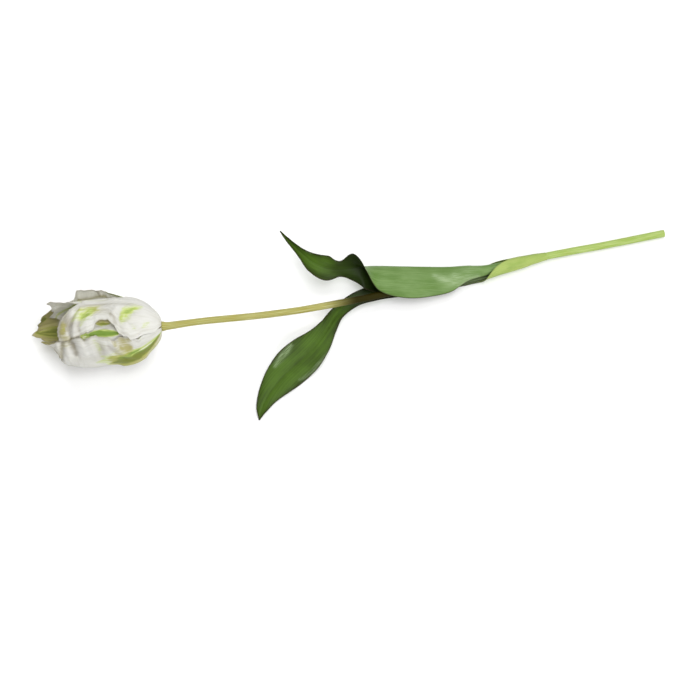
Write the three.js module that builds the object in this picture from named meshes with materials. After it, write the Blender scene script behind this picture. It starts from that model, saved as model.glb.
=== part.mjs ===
// Parrot tulip: one cut flower lying on a flat surface.
// Millimetres. +X runs along the stem to the cut end, +Y across, +Z up, resting surface at Z = 0.
// The pieces are the stem with the receptacle it ends in, two leaves, three outer petals,
// three inner petals, one pistil and six stamens.

import * as THREE from "three";
import { mergeVertices } from "three/addons/utils/BufferGeometryUtils.js";

// ---------- driving dimensions ----------

const PETAL_THICKNESS = 0.6;
const LEAF_THICKNESS = 0.6;

const BLOOM_BASE = new THREE.Vector3(-165.7, 8.4, 28.8);
const BLOOM_HEADING = new THREE.Vector3(-100.7, 10.8, -1.2).normalize();
// A bloom that lies on its side sags a little under its own weight, but not where it meets the stem.
const BLOOM_FLATTENING = 0.92;
const ROUND_UP_TO_RADIUS = 5;
const FLAT_FROM_RADIUS = 20;

const RECEPTACLE_RADIUS = 4.0;
const RECEPTACLE_NECK_RADIUS = 2.8;
const RECEPTACLE_TOP = 3.0;

const PISTIL_LENGTH = 24;
const PISTIL_RADIUS = 2.6;
const STAMEN_COUNT = 6;
const STAMEN_LENGTH = 21;
const STAMEN_RING_RADIUS = 2.15;
const STAMEN_SPREAD_RADIUS = 8.5;
const FILAMENT_RADIUS = 0.45;
const ANTHER_RADIUS = 1.3;
const PISTIL_CLEARANCE = 0.3;
const STAMEN_CLEARANCE = 0.5;

// Mesh fineness: faces across and along each kind of piece.
const PETAL_GRID = { across: 12, along: 24 };
const LEAF_GRID = { across: 10, along: 44 };
const STEM_GRID = { around: 12, along: 48 };
const PISTIL_GRID = { around: 12, along: 10 };
const STAMEN_GRID = { around: 6, along: 9 };

// Stem axis from the cut end to the bloom, each with the stem's radius there.
const STEM_STATIONS = [
  { at: [275.2, 28.1, 3.2], radius: 3.1 },
  { at: [250.0, 27.0, 3.4], radius: 3.1 },
  { at: [217.8, 25.8, 3.7], radius: 3.1 },
  { at: [191.1, 25.2, 4.1], radius: 3.1 },
  { at: [164.2, 23.8, 5.0], radius: 3.1 },
  { at: [146.2, 21.9, 5.8], radius: 3.1 },
  { at: [132.7, 20.5, 6.2], radius: 3.1 },
  { at: [114.7, 18.7, 6.9], radius: 3.05 },
  { at: [83.4, 15.6, 8.6], radius: 3.05 },
  { at: [39.1, 12.0, 11.3], radius: 3.0 },
  { at: [-9.1, 8.5, 15.2], radius: 3.0 },
  { at: [-48.0, 6.3, 19.3], radius: 2.95 },
  { at: [-86.5, 6.1, 23.3], radius: 2.9 },
  { at: [-111.7, 7.0, 25.6], radius: 2.9 },
  { at: [-136.9, 7.9, 27.4], radius: 2.9 },
];

// The upper leaf is folded along its midrib around the stem, then opens and curls up at the tip.
// Each half leaves the midrib at `start` degrees (0 = -Y, 90 = up), turns through `bend` and is `width` wide.
const UPPER_LEAF_STATIONS = [
  { at: [147, 26.0, 5.8], near: [90, -172, 11.9], far: [-90, 172, 11.9] },
  { at: [136, 24.8, 6.1], near: [90, -172, 11.9], far: [-90, 172, 11.9] },
  { at: [124, 23.8, 6.8], near: [88, -170, 12.3], far: [-90, 166, 12.3] },
  { at: [113, 23.3, 8.6], near: [80, -164, 13.4], far: [-84, 134, 14.8] },
  { at: [100, 24.6, 10.9], near: [60, -142, 17.6], far: [-76, 104, 17.5] },
  { at: [83, 26.2, 11.9], near: [42, -98, 25.8], far: [-67, 80, 20.0] },
  { at: [63, 29.6, 12.7], near: [36, -74, 30.4], far: [-57, 64, 24.0] },
  { at: [45, 32.8, 13.4], near: [38, -74, 31.0], far: [-49, 54, 25.5] },
  { at: [30, 35.4, 14.1], near: [46, -82, 28.6], far: [-43, 44, 25.5] },
  { at: [20, 36.8, 14.8], near: [58, -88, 24.0], far: [-36, 36, 22.0] },
  { at: [10, 37.5, 15.8], near: [78, -34, 19.0], far: [-20, 16, 18.3] },
  { at: [2, 37.5, 16.4], near: [128, -10, 14.4], far: [-26, 8, 11.0] },
  { at: [-8, 38.5, 16.5], near: [146, 8, 7.0], far: [-32, 6, 6.8] },
  { at: [-19, 41.0, 16.6], near: [160, -6, 10.8], far: [-18, 10, 10.8] },
  { at: [-29, 46.5, 18.2], near: [158, -16, 9.2], far: [-4, 20, 9.2] },
  { at: [-37, 54.5, 20.5], near: [152, -26, 6.0], far: [8, 30, 6.0] },
  { at: [-45, 64.5, 24.0], near: [148, -34, 3.2], far: [16, 36, 3.2] },
  { at: [-50.5, 72.5, 26.5], near: [148, -30, 1.4], far: [20, 30, 1.4] },
  { at: [-53.3, 77.3, 28.0], near: [148, -20, 0.4], far: [24, 20, 0.4] },
];

// The lower leaf wraps the stem as a sheath, then opens into a shallow blade on the surface.
const LOWER_LEAF_STATIONS = [
  { at: [170, 20.7, 2.9], near: [60, 172, 11.8], far: [240, -172, 11.8] },
  { at: [159, 19.9, 3.1], near: [60, 172, 12.3], far: [240, -172, 12.3] },
  { at: [148, 17.7, 3.2], near: [60, 172, 15.3], far: [240, -172, 15.3] },
  { at: [138, 16.2, 3.3], near: [60, 164, 16.0], far: [238, -166, 16.0] },
  { at: [128, 15.1, 3.2], near: [56, 134, 13.6], far: [232, -136, 14.6] },
  { at: [119, 14.2, 2.6], near: [44, 92, 9.8], far: [218, -98, 12.2] },
  { at: [110, 14.8, 1.7], near: [12, 20, 4.4], far: [192, -38, 10.0] },
  { at: [96, 15.8, 1.0], near: [3, 6, 5.2], far: [180, -10, 8.5] },
  { at: [70, 17.5, 1.0], near: [2, 4, 7.5], far: [178, -4, 8.5] },
  { at: [40.5, 18.1, 1.2], near: [4, 2, 8.0], far: [176, -2, 8.5] },
  { at: [18.4, 16.7, 1.8], near: [6, 4, 7.2], far: [174, -4, 7.8] },
  { at: [0.5, 13.6, 2.7], near: [8, 4, 6.2], far: [172, -4, 6.4] },
  { at: [-16, 4.3, 3.3], near: [10, 2, 6.0], far: [170, -4, 6.2] },
  { at: [-26.7, -7.9, 3.8], near: [10, -6, 8.0], far: [170, 2, 8.4] },
  { at: [-37.2, -19.0, 4.0], near: [10, -14, 12.2], far: [168, 6, 12.6] },
  { at: [-49.2, -28.7, 3.9], near: [8, -20, 15.6], far: [166, 10, 16.6] },
  { at: [-62.8, -38.0, 3.4], near: [6, -22, 16.0], far: [166, 12, 17.6] },
  { at: [-75.5, -47.4, 2.8], near: [6, -20, 13.8], far: [168, 12, 13.8] },
  { at: [-86.7, -58.7, 2.1], near: [6, -16, 9.0], far: [170, 10, 9.0] },
  { at: [-93.5, -69.1, 1.5], near: [6, -10, 5.0], far: [172, 8, 5.0] },
  { at: [-97.3, -78.2, 1.1], near: [6, -6, 0.4], far: [174, 6, 0.4] },
];

// Petal profiles: distance along the bloom axis and distance from that axis.
const OUTER_PROFILE = [
  [-1.5, 4.7], [-1.1, 7.2], [0.2, 10], [3, 13.8], [8, 18.8], [14.5, 23.4],
  [24, 27.2], [35, 28.8], [48, 29.3], [62, 29], [74, 27.6], [84, 25.2],
  [94, 21.4], [103, 16.8], [110, 12.2],
];
const INNER_PROFILE = [
  [1.7, 3.2], [2.2, 6.4], [3.2, 8.8], [5.6, 11.6], [10.2, 16], [16.2, 20.2],
  [25, 23.7], [36, 25.3], [48, 25.9], [61, 25.6], [73, 24.2], [82, 21.8],
  [91, 18.2], [99, 13.8], [106, 9.0],
];

// Petals by the angle round the bloom axis (0 = +Y, 90 = up, 180 = -Y).
// `margins` lists, from base to tip, how far each side edge lies from the middle in degrees.
// `tips` lists, from one side edge to the other, the share of the profile where the petal ends.
// One side of a petal lies outside the next petal and the other side inside it, by `lap`.
// `flares` push a stretch of one edge outward: how far along, how long, which side, how much.
const PETALS = {
  outer_petal_1: {
    profile: OUTER_PROFILE, middle: 50, lap: 1.0,
    tips: [[-1, 0.6], [0, 0.61], [0.35, 0.7], [0.7, 0.76], [1, 0.755]],
    margins: [
      [0, 55, 58], [0.13, 56, 75], [0.3, 56, 78], [0.4, 51, 74], [0.47, 44, 67], [0.51, 37, 53],
      [0.55, 29, 42], [0.63, 17, 43], [0.67, 12, 53], [0.71, 8, 60], [0.85, 5, 68], [1, 4, 75],
    ],
    flares: [[0.33, 0.26, 1, 1.0], [0.88, 0.25, 1, 0.8]],
  },
  outer_petal_2: {
    profile: OUTER_PROFILE, middle: 178, lap: 1.0,
    tips: [[-1, 0.83], [-0.8, 0.805], [-0.5, 0.783], [0, 0.765], [0.4, 0.762], [1, 0.7]],
    margins: [
      [0, 58, 55], [0.16, 54, 56], [0.31, 52, 58], [0.36, 54, 58], [0.42, 54, 58], [0.48, 50, 58],
      [0.54, 56, 58], [0.66, 60, 58], [0.78, 58, 57], [0.86, 55, 55], [0.94, 50, 50], [1, 41, 40],
    ],
    flares: [[0.62, 0.3, -1, 0.8], [0.8, 0.4, 1, 1.5]],
  },
  outer_petal_3: {
    profile: OUTER_PROFILE, middle: 292, lap: 1.0,
    tips: [[-1, 0.72], [-0.66, 0.86], [-0.35, 0.94], [0, 1.0], [0.33, 0.95], [0.7, 0.915], [1, 0.86]],
    margins: [
      [0, 55, 55], [0.17, 58, 60], [0.29, 58, 76], [0.38, 58, 84], [0.46, 58, 77], [0.52, 58, 69],
      [0.55, 58, 67], [0.62, 58, 67],
      [0.72, 57, 68], [0.77, 57, 67], [0.81, 56, 65], [0.9, 54, 62], [1, 44, 60],
    ],
    flares: [[0.58, 0.13, 1, 7.6], [0.7, 0.11, 1, 8.0]],
  },
  inner_petal_1: {
    profile: INNER_PROFILE, middle: 114, lap: 0.7,
    tips: [[-1, 0.66], [-0.4, 0.72], [0, 0.74], [0.4, 0.765], [1, 0.7]],
    margins: [
      [0, 50, 50], [0.14, 52, 52], [0.3, 54, 54], [0.5, 54, 54],
      [0.7, 52, 52], [0.85, 48, 48], [1, 34, 36],
    ],
    flares: [],
  },
  inner_petal_2: {
    profile: INNER_PROFILE, middle: 354, lap: 0.7,
    tips: [[-1, 0.77], [-0.5, 0.84], [-0.1, 0.875], [0.3, 0.84], [0.6, 0.85], [1, 0.88]],
    margins: [
      [0, 50, 50], [0.14, 52, 52], [0.3, 54, 54], [0.5, 56, 56],
      [0.7, 54, 58], [0.85, 46, 50], [1, 28, 28],
    ],
    flares: [[0.9, 0.18, 1, 3.0], [1.07, 0.3, 1, 8.0]],
  },
  inner_petal_3: {
    profile: INNER_PROFILE, middle: 234, lap: 0.7,
    tips: [[-1, 0.78], [0, 0.78], [0.3, 0.8], [0.42, 0.86], [0.55, 0.95], [0.75, 0.95], [1, 0.87]],
    margins: [
      [0, 50, 50], [0.14, 52, 52], [0.3, 54, 54], [0.5, 56, 56],
      [0.7, 54, 50], [0.85, 48, 44], [1, 30, 34],
    ],
    flares: [],
  },
};

// Waves along the side edge of a petal that lies outside its neighbour.
const RUFFLE_COUNT = 3.5;
const RUFFLE_HEIGHT = 0.8;
// Neighbouring petals overlap beyond this share of their length.
const LAP_START = 0.1;

const MATERIALS = {
  stem: { color: 0xb0ab5e, roughness: 0.55, metalness: 0 },
  leaf: { color: 0x3f6b36, roughness: 0.45, metalness: 0 },
  petal: { color: 0xf1f2e8, roughness: 0.6, metalness: 0 },
  pistil: { color: 0xb9cc7a, roughness: 0.5, metalness: 0 },
  anther: { color: 0x54452f, roughness: 0.7, metalness: 0 },
};

// ---------- helpers ----------

const UP = new THREE.Vector3(0, 0, 1);
const FULL_TURN = 2 * Math.PI;

const radians = THREE.MathUtils.degToRad;

// Smooth value at `t` through rows of [t, value, value, ...]; `column` picks the value.
function smoothColumn(rows, column, t) {
  const last = rows.length - 1;
  let k = 0;
  while (k < last - 1 && t > rows[k + 1][0]) {
    k += 1;
  }
  const slope = (i) => {
    const before = rows[Math.max(i - 1, 0)];
    const after = rows[Math.min(i + 1, last)];
    return (after[column] - before[column]) / (after[0] - before[0]);
  };
  const span = rows[k + 1][0] - rows[k][0];
  const s = (t - rows[k][0]) / span;
  const s2 = s * s;
  const s3 = s2 * s;
  return (2 * s3 - 3 * s2 + 1) * rows[k][column]
    + (s3 - 2 * s2 + s) * span * slope(k)
    + (3 * s2 - 2 * s3) * rows[k + 1][column]
    + (s3 - s2) * span * slope(k + 1);
}

// Moves every point of a closed primitive and joins the points that meet.
function reshaped(geometry, move) {
  geometry.deleteAttribute("uv");
  geometry.deleteAttribute("normal");
  const joined = mergeVertices(geometry, 1e-5);
  const position = joined.attributes.position;
  const point = new THREE.Vector3();
  for (let i = 0; i < position.count; i += 1) {
    point.fromBufferAttribute(position, i);
    const moved = move(point);
    position.setXYZ(i, moved.x, moved.y, moved.z);
  }
  joined.computeVertexNormals();
  return joined;
}

// Closed thin sheet of even thickness over surface(u, v), u from 0 to 1 and v from -1 to 1.
function sheet(surface, grid, thickness) {
  const step = 1e-3;
  const slab = new THREE.BoxGeometry(2, 1, 1, grid.across, grid.along, 1);
  return reshaped(slab, (p) => {
    const v = p.x;
    const u = p.y + 0.5;
    const alongV = surface(u, v + step).sub(surface(u, v - step));
    const alongU = surface(u + step, v).sub(surface(u - step, v));
    const normal = alongV.cross(alongU).normalize();
    return surface(u, v).addScaledVector(normal, p.z * thickness);
  });
}

// Closed solid stalk whose axis follows `curve`, with radius(t, angle) round it.
function stalk(curve, radius, grid) {
  const rod = new THREE.CylinderGeometry(1, 1, 1, grid.around, grid.along);
  return reshaped(rod, (p) => {
    const t = p.y + 0.5;
    const centre = curve.getPoint(t);
    const tangent = curve.getTangent(t);
    const side = new THREE.Vector3().crossVectors(UP, tangent).normalize();
    const third = new THREE.Vector3().crossVectors(side, tangent);
    const scale = radius(t, Math.atan2(p.z, p.x));
    return centre.addScaledVector(side, p.x * scale).addScaledVector(third, p.z * scale);
  });
}

// Bloom frame: two directions square to the bloom axis.
const BLOOM_ACROSS = new THREE.Vector3(0, 1, 0)
  .addScaledVector(BLOOM_HEADING, -BLOOM_HEADING.y)
  .normalize();
const BLOOM_RISE = new THREE.Vector3().crossVectors(BLOOM_ACROSS, BLOOM_HEADING);

function bloomPoint(distance, radius, angle, flattening) {
  return BLOOM_BASE.clone()
    .addScaledVector(BLOOM_HEADING, distance)
    .addScaledVector(BLOOM_ACROSS, radius * Math.cos(angle))
    .addScaledVector(BLOOM_RISE, radius * Math.sin(angle) * flattening);
}

// ---------- petals ----------

// One soft bump, 1 at the centre and 0 beyond the half length.
function bump(offset, halfLength) {
  const s = Math.min(Math.abs(offset) / halfLength, 1);
  return 0.5 * (1 + Math.cos(Math.PI * s));
}

function petalGeometry(petal) {
  const profile = new THREE.CatmullRomCurve3(
    petal.profile.map(([distance, radius]) => new THREE.Vector3(distance, radius, 0)),
  );
  const surface = (u, v) => {
    const reach = smoothColumn(petal.tips, 1, v);
    const station = profile.getPointAt(THREE.MathUtils.clamp(u * reach, 0, 1));
    const column = v < 0 ? 1 : 2;
    const halfAngle = smoothColumn(petal.margins, column, u);
    const angle = radians(petal.middle + halfAngle * v);
    const ripple = 0.5 - 0.5 * Math.cos(RUFFLE_COUNT * FULL_TURN * u);
    let radius = station.y + petal.lap * v * THREE.MathUtils.smoothstep(u, 0, LAP_START);
    radius += RUFFLE_HEIGHT * ripple * Math.max(0, v) ** 4;
    for (const [centre, length, side, amount] of petal.flares) {
      radius += amount * bump(u - centre, length) * Math.max(0, side * v) ** 3;
    }
    const wide = THREE.MathUtils.smoothstep(station.y, ROUND_UP_TO_RADIUS, FLAT_FROM_RADIUS);
    return bloomPoint(station.x, radius, angle, 1 - (1 - BLOOM_FLATTENING) * wide);
  };
  return sheet(surface, PETAL_GRID, PETAL_THICKNESS);
}

// ---------- leaves ----------

// Offset from the midrib at `distance` into a half that bends as an arc, as [across, up].
function arcOffset([start, bend, width], distance) {
  const a = radians(start);
  const turn = radians(bend);
  const s = distance * width;
  if (Math.abs(turn) < 1e-3) {
    return [s * Math.cos(a), s * Math.sin(a)];
  }
  const radius = width / turn;
  const b = a + turn * distance;
  return [radius * (Math.sin(b) - Math.sin(a)), radius * (Math.cos(a) - Math.cos(b))];
}

function leafGeometry(stations) {
  const midrib = new THREE.CatmullRomCurve3(stations.map(({ at }) => new THREE.Vector3(...at)));
  const last = stations.length - 1;
  const nearRows = stations.map(({ near }, i) => [i / last, ...near]);
  const farRows = stations.map(({ far }, i) => [i / last, ...far]);
  const surface = (u, v) => {
    const t = THREE.MathUtils.clamp(u, 0, 1);
    const tangent = midrib.getTangent(t);
    const side = new THREE.Vector3().crossVectors(UP, tangent).normalize();
    const rise = new THREE.Vector3().crossVectors(tangent, side);
    const rows = v < 0 ? farRows : nearRows;
    const half = [1, 2, 3].map((column) => smoothColumn(rows, column, t));
    const [across, up] = arcOffset(half, Math.abs(v));
    // Past either end the leaf runs straight on, so its slope is known at the last row too.
    const beyond = u - t;
    return midrib.getPoint(t)
      .addScaledVector(tangent, beyond)
      .addScaledVector(side, across)
      .addScaledVector(rise, up);
  };
  return sheet(surface, LEAF_GRID, LEAF_THICKNESS);
}

// ---------- stem, pistil and stamens ----------

function stemGeometry() {
  // The receptacle, by distance along the bloom axis: a collar under the petals and a neck inside them.
  const neck = [
    [-5.0, 3.3],
    [-2.2, RECEPTACLE_RADIUS],
    [-0.6, RECEPTACLE_RADIUS],
    [0.6, RECEPTACLE_NECK_RADIUS],
    [RECEPTACLE_TOP, RECEPTACLE_NECK_RADIUS],
  ];
  const stations = STEM_STATIONS.map(({ at, radius }) => [new THREE.Vector3(...at), radius]);
  for (const [distance, radius] of neck) {
    stations.push([bloomPoint(distance, 0, 0, 1), radius]);
  }
  const curve = new THREE.CatmullRomCurve3(stations.map(([point]) => point));
  const last = stations.length - 1;
  const radii = stations.map(([, radius], i) => [i / last, radius]);
  return stalk(curve, (t) => smoothColumn(radii, 1, t), STEM_GRID);
}

function pistilGeometry() {
  const start = RECEPTACLE_TOP + PISTIL_CLEARANCE;
  const curve = new THREE.LineCurve3(
    bloomPoint(start, 0, 0, 1),
    bloomPoint(start + PISTIL_LENGTH, 0, 0, 1),
  );
  // Waist at the foot, swollen ovary, and a stigma of three lobes.
  const outline = [[0, 0.5], [0.25, 0.95], [0.7, 0.85], [0.85, 0.8], [0.93, 1.3], [1, 0.9]];
  const radius = (t, angle) => {
    const lobes = 1 + 0.25 * THREE.MathUtils.smoothstep(t, 0.8, 0.95) * Math.cos(3 * angle);
    return PISTIL_RADIUS * smoothColumn(outline, 1, t) * lobes;
  };
  return stalk(curve, radius, PISTIL_GRID);
}

function stamenGeometry(angle) {
  const start = RECEPTACLE_TOP + STAMEN_CLEARANCE;
  const curve = new THREE.CatmullRomCurve3([
    bloomPoint(start, STAMEN_RING_RADIUS, angle, 1),
    bloomPoint(start + 0.3 * STAMEN_LENGTH, 0.62 * STAMEN_SPREAD_RADIUS, angle, 1),
    bloomPoint(start + 0.65 * STAMEN_LENGTH, 0.9 * STAMEN_SPREAD_RADIUS, angle, 1),
    bloomPoint(start + STAMEN_LENGTH, STAMEN_SPREAD_RADIUS, angle, 1),
  ]);
  const outline = [
    [0, FILAMENT_RADIUS],
    [0.5, FILAMENT_RADIUS],
    [0.58, ANTHER_RADIUS],
    [0.9, ANTHER_RADIUS],
    [1, FILAMENT_RADIUS],
  ];
  return stalk(curve, (t) => smoothColumn(outline, 1, t), STAMEN_GRID);
}

// ---------- assembly ----------

const part = new THREE.Group();
part.name = "parrot_tulip";

function addPiece(name, geometry, material) {
  const mesh = new THREE.Mesh(geometry, new THREE.MeshStandardMaterial(material));
  mesh.name = name;
  part.add(mesh);
}

addPiece("stem", stemGeometry(), MATERIALS.stem);
addPiece("upper_leaf", leafGeometry(UPPER_LEAF_STATIONS), MATERIALS.leaf);
addPiece("lower_leaf", leafGeometry(LOWER_LEAF_STATIONS), MATERIALS.leaf);
for (const [name, petal] of Object.entries(PETALS)) {
  addPiece(name, petalGeometry(petal), MATERIALS.petal);
}
addPiece("pistil", pistilGeometry(), MATERIALS.pistil);
for (let k = 0; k < STAMEN_COUNT; k += 1) {
  addPiece(`stamen_${k + 1}`, stamenGeometry((k * FULL_TURN) / STAMEN_COUNT), MATERIALS.anther);
}

export default part;
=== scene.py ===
"""Parrot tulip, one cut flower lying on its side: stem, two leaves, six petals, pistil and stamens.

Sizes in the tables are millimetres in the part's frame: +X towards the cut end, +Z up, surface at Z = 0.
"""

import math

import bpy
import numpy as np
from bpy.props import FloatProperty, FloatVectorProperty, IntProperty, PointerProperty
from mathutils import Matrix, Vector


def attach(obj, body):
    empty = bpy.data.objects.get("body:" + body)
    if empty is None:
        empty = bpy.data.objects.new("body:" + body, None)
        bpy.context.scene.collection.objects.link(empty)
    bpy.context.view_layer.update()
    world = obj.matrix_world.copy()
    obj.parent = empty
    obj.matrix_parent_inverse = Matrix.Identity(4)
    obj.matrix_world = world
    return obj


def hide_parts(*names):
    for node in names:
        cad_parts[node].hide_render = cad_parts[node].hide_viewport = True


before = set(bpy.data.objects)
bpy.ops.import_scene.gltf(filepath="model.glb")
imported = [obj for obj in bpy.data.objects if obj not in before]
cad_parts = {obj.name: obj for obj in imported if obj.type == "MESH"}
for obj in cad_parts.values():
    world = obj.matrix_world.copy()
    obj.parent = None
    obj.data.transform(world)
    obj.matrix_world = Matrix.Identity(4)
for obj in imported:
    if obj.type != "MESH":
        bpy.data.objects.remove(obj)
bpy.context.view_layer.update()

bl_info = {
    "name": "Parrot Tulip",
    "version": (1, 0, 0),
    "blender": (4, 5, 0),
    "location": "View3D > Sidebar > Tulip",
    "description": "Builds a cut parrot tulip that lies on a table",
    "category": "Add Mesh",
}

BODY = "root"
MM = 0.001
FULL_TURN = 2 * math.pi

# ---------- where things are ----------

BLOOM_BASE = np.array([-165.7, 8.4, 28.8])
BLOOM_HEADING = np.array([-100.7, 10.8, -1.2])
# The bloom is round up to the first radius and flattened from the second on.
# Petals stand apart by their full lap from the share LAP_START on.
BLOOM_FLATTENING = 0.92
ROUND_UP_TO_RADIUS = 5
FLAT_FROM_RADIUS = 20
LAP_START = 0.1

# Stem axis from the cut end to the bloom, and the stem's radius there.
STEM_STATIONS = [
    ((275.2, 28.1, 3.2), 3.1),
    ((250.0, 27.0, 3.4), 3.1),
    ((217.8, 25.8, 3.7), 3.1),
    ((191.1, 25.2, 4.1), 3.1),
    ((164.2, 23.8, 5.0), 3.1),
    ((146.2, 21.9, 5.8), 3.1),
    ((132.7, 20.5, 6.2), 3.1),
    ((114.7, 18.7, 6.9), 3.05),
    ((83.4, 15.6, 8.6), 3.05),
    ((39.1, 12.0, 11.3), 3.0),
    ((-9.1, 8.5, 15.2), 3.0),
    ((-48.0, 6.3, 19.3), 2.95),
    ((-86.5, 6.1, 23.3), 2.9),
    ((-111.7, 7.0, 25.6), 2.9),
    ((-136.9, 7.9, 27.4), 2.9),
]
# The receptacle, by distance along the bloom axis and radius.
RECEPTACLE = [(-5.0, 3.3), (-2.2, 4.0), (-0.6, 4.0), (0.6, 2.8), (3.0, 2.8)]
# Stem surface: flutes as (height, how many round the stem, angle they are turned by), then slow swellings.
STEM_FLUTES = [(0.035, 9, 0), (0.02, 14, 1)]
STEM_SWELL = 0.05
STEM_SWELL_SEED = 3
STEM_SWELL_WAVES = (60, 18)
STEM_SWELL_GAUGE = 4
STEM_SWELL_START = (0, 30)
# The stem splays a little at the cut. Each end face has this many rings of points.
STEM_SPLAY = 0.04
STEM_SPLAY_REACH = 2.0
STEM_CAP_RINGS = 5
# Radius at which the painted grain is laid round the stem.
STEM_GAUGE = 3.0
# Painted shade where the leaves fold round the stem, and where it turns green, as shares of its length from
# the bloom.
STEM_SHADE_START = (0.305, 0.385)
STEM_SHADE_END = (0.46, 0.52)
STEM_GREEN_START = (0.50, 0.56)

# Leaves: midrib point, then how each half leaves it: start angle, bend and width.
UPPER_LEAF = [
    ((147, 26.0, 5.8), (90, -172, 11.9), (-90, 172, 11.9)),
    ((136, 24.8, 6.1), (90, -172, 11.9), (-90, 172, 11.9)),
    ((124, 23.8, 6.8), (88, -170, 12.3), (-90, 166, 12.3)),
    ((113, 23.3, 8.6), (80, -164, 13.4), (-84, 134, 14.8)),
    ((100, 24.6, 10.9), (60, -142, 17.6), (-76, 104, 17.5)),
    ((83, 26.2, 11.9), (42, -98, 25.8), (-67, 80, 20.0)),
    ((63, 29.6, 12.7), (36, -74, 30.4), (-57, 64, 24.0)),
    ((45, 32.8, 13.4), (38, -74, 31.0), (-49, 54, 25.5)),
    ((30, 35.4, 14.1), (46, -82, 28.6), (-43, 44, 25.5)),
    ((20, 36.8, 14.8), (58, -88, 24.0), (-36, 36, 22.0)),
    ((10, 37.5, 15.8), (78, -34, 19.0), (-20, 16, 18.3)),
    ((2, 37.5, 16.4), (128, -10, 14.4), (-26, 8, 11.0)),
    ((-8, 38.5, 16.5), (146, 8, 7.0), (-32, 6, 6.8)),
    ((-19, 41.0, 16.6), (160, -6, 10.8), (-18, 10, 10.8)),
    ((-29, 46.5, 18.2), (158, -16, 9.2), (-4, 20, 9.2)),
    ((-37, 54.5, 20.5), (152, -26, 6.0), (8, 30, 6.0)),
    ((-45, 64.5, 24.0), (148, -34, 3.2), (16, 36, 3.2)),
    ((-50.5, 72.5, 26.5), (148, -30, 1.4), (20, 30, 1.4)),
    ((-53.3, 77.3, 28.0), (148, -20, 0.4), (24, 20, 0.4)),
]
LOWER_LEAF = [
    ((170, 20.7, 2.9), (60, 172, 11.8), (240, -172, 11.8)),
    ((159, 19.9, 3.1), (60, 172, 12.3), (240, -172, 12.3)),
    ((148, 17.7, 3.2), (60, 172, 15.3), (240, -172, 15.3)),
    ((138, 16.2, 3.3), (60, 164, 16.0), (238, -166, 16.0)),
    ((128, 15.1, 3.2), (56, 134, 13.6), (232, -136, 14.6)),
    ((119, 14.2, 2.6), (44, 92, 9.8), (218, -98, 12.2)),
    ((110, 14.8, 1.7), (12, 20, 4.4), (192, -38, 10.0)),
    ((96, 15.8, 1.0), (3, 6, 5.2), (180, -10, 8.5)),
    ((70, 17.5, 1.0), (2, 4, 7.5), (178, -4, 8.5)),
    ((40.5, 18.1, 1.2), (4, 2, 8.0), (176, -2, 8.5)),
    ((18.4, 16.7, 1.8), (6, 4, 7.2), (174, -4, 7.8)),
    ((0.5, 13.6, 2.7), (8, 4, 6.2), (172, -4, 6.4)),
    ((-16, 4.3, 3.3), (10, 2, 6.0), (170, -4, 6.2)),
    ((-26.7, -7.9, 3.8), (10, -6, 8.0), (170, 2, 8.4)),
    ((-37.2, -19.0, 4.0), (10, -14, 12.2), (168, 6, 12.6)),
    ((-49.2, -28.7, 3.9), (8, -20, 15.6), (166, 10, 16.6)),
    ((-62.8, -38.0, 3.4), (6, -22, 16.0), (166, 12, 17.6)),
    ((-75.5, -47.4, 2.8), (6, -20, 13.8), (168, 12, 13.8)),
    ((-86.7, -58.7, 2.1), (6, -16, 9.0), (170, 10, 9.0)),
    ((-93.5, -69.1, 1.5), (6, -10, 5.0), (172, 8, 5.0)),
    ((-97.3, -78.2, 1.1), (6, -6, 0.4), (174, 6, 0.4)),
]

# Painted highlights of the leaves, and painted light that lifts the shade of slivers under the folds: line
# of (along, aside) in millimetres, half width, strength.
UPPER_SHINE = [
    ([(76, 11), (64, 15), (52, 17), (40, 13)], 4.5, 1.2),
    ([(60, 9), (38, 5)], 4.0, 0.4),
    ([(28, -10), (40, -15), (54, -18)], 7.0, 2.2),
    ([(188, 6), (196, 8)], 2.0, 0.4),
]
LOWER_SHINE = [
    ([(32, -15), (48, -14)], 6.0, 2.2),
    ([(46, -4), (62, 1), (80, 5), (98, 8)], 9.0, 1.4),
    ([(240, -14.5), (252, -14), (262, -11)], 3.2, 0.8),
    ([(222, 13), (243, 15.5), (256, 12)], 2.2, 0.4),
]
# Millimetres from the base: sheath_end, where the sheath ends, and the stretch of painted shade inside the
# folds.
# upper_side is the side of the sheet that faces the bloom, 1 for its front and -1 for its back.
LEAVES = {
    "upper_leaf": {
        "stations": UPPER_LEAF, "shine": UPPER_SHINE, "seed": 21, "upper_side": 1,
        "sheath_end": 16, "painted_shade": (122, 165), "base_on_stem": False,
    },
    "lower_leaf": {
        "stations": LOWER_LEAF, "shine": LOWER_SHINE, "seed": 22, "upper_side": -1,
        "sheath_end": 62, "painted_shade": (112, 182), "base_on_stem": True,
    },
}

# Leaf surface: rolled margins, veins and a groove along the midrib. They grow in over LEAF_FREE millimetres
# past the sheath.
LEAF_CROWDING = 0.35
LEAF_FREE = 40
LEAF_ROLL = 0.7
LEAF_ROLL_WAVES = (46, 17)
LEAF_ROLL_START = (0.45, 1)
LEAF_THINNING = 0.45
VEIN_HEIGHT = 0.03
VEIN_SPACING = 1.5
GROOVE_DEPTH = 0.2
GROOVE_WIDTH = 1.6
# A leaf based on the stem starts as a thin ring of BASE_RADIUS, and comes loose over BASE_LENGTH.
BASE_RADIUS = 3.32
BASE_LENGTH = 11
BASE_THICKNESS = 0.25
BASE_SAMPLES = 2000
# Painted layers of the leaves: widths and fades in millimetres, SHEATH_FADE in shares of the sheath.
LEAF_RIM = 0.7
LEAF_MARGIN = 4
LEAF_TIP_LENGTH = 200
# Fades of the painted shade inside the folds, in millimetres.
SHADE_FADE_IN = 15
SHADE_FADE_OUT = (-25, 15)
SHEATH_FADE = (0.75, 1.15)
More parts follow.
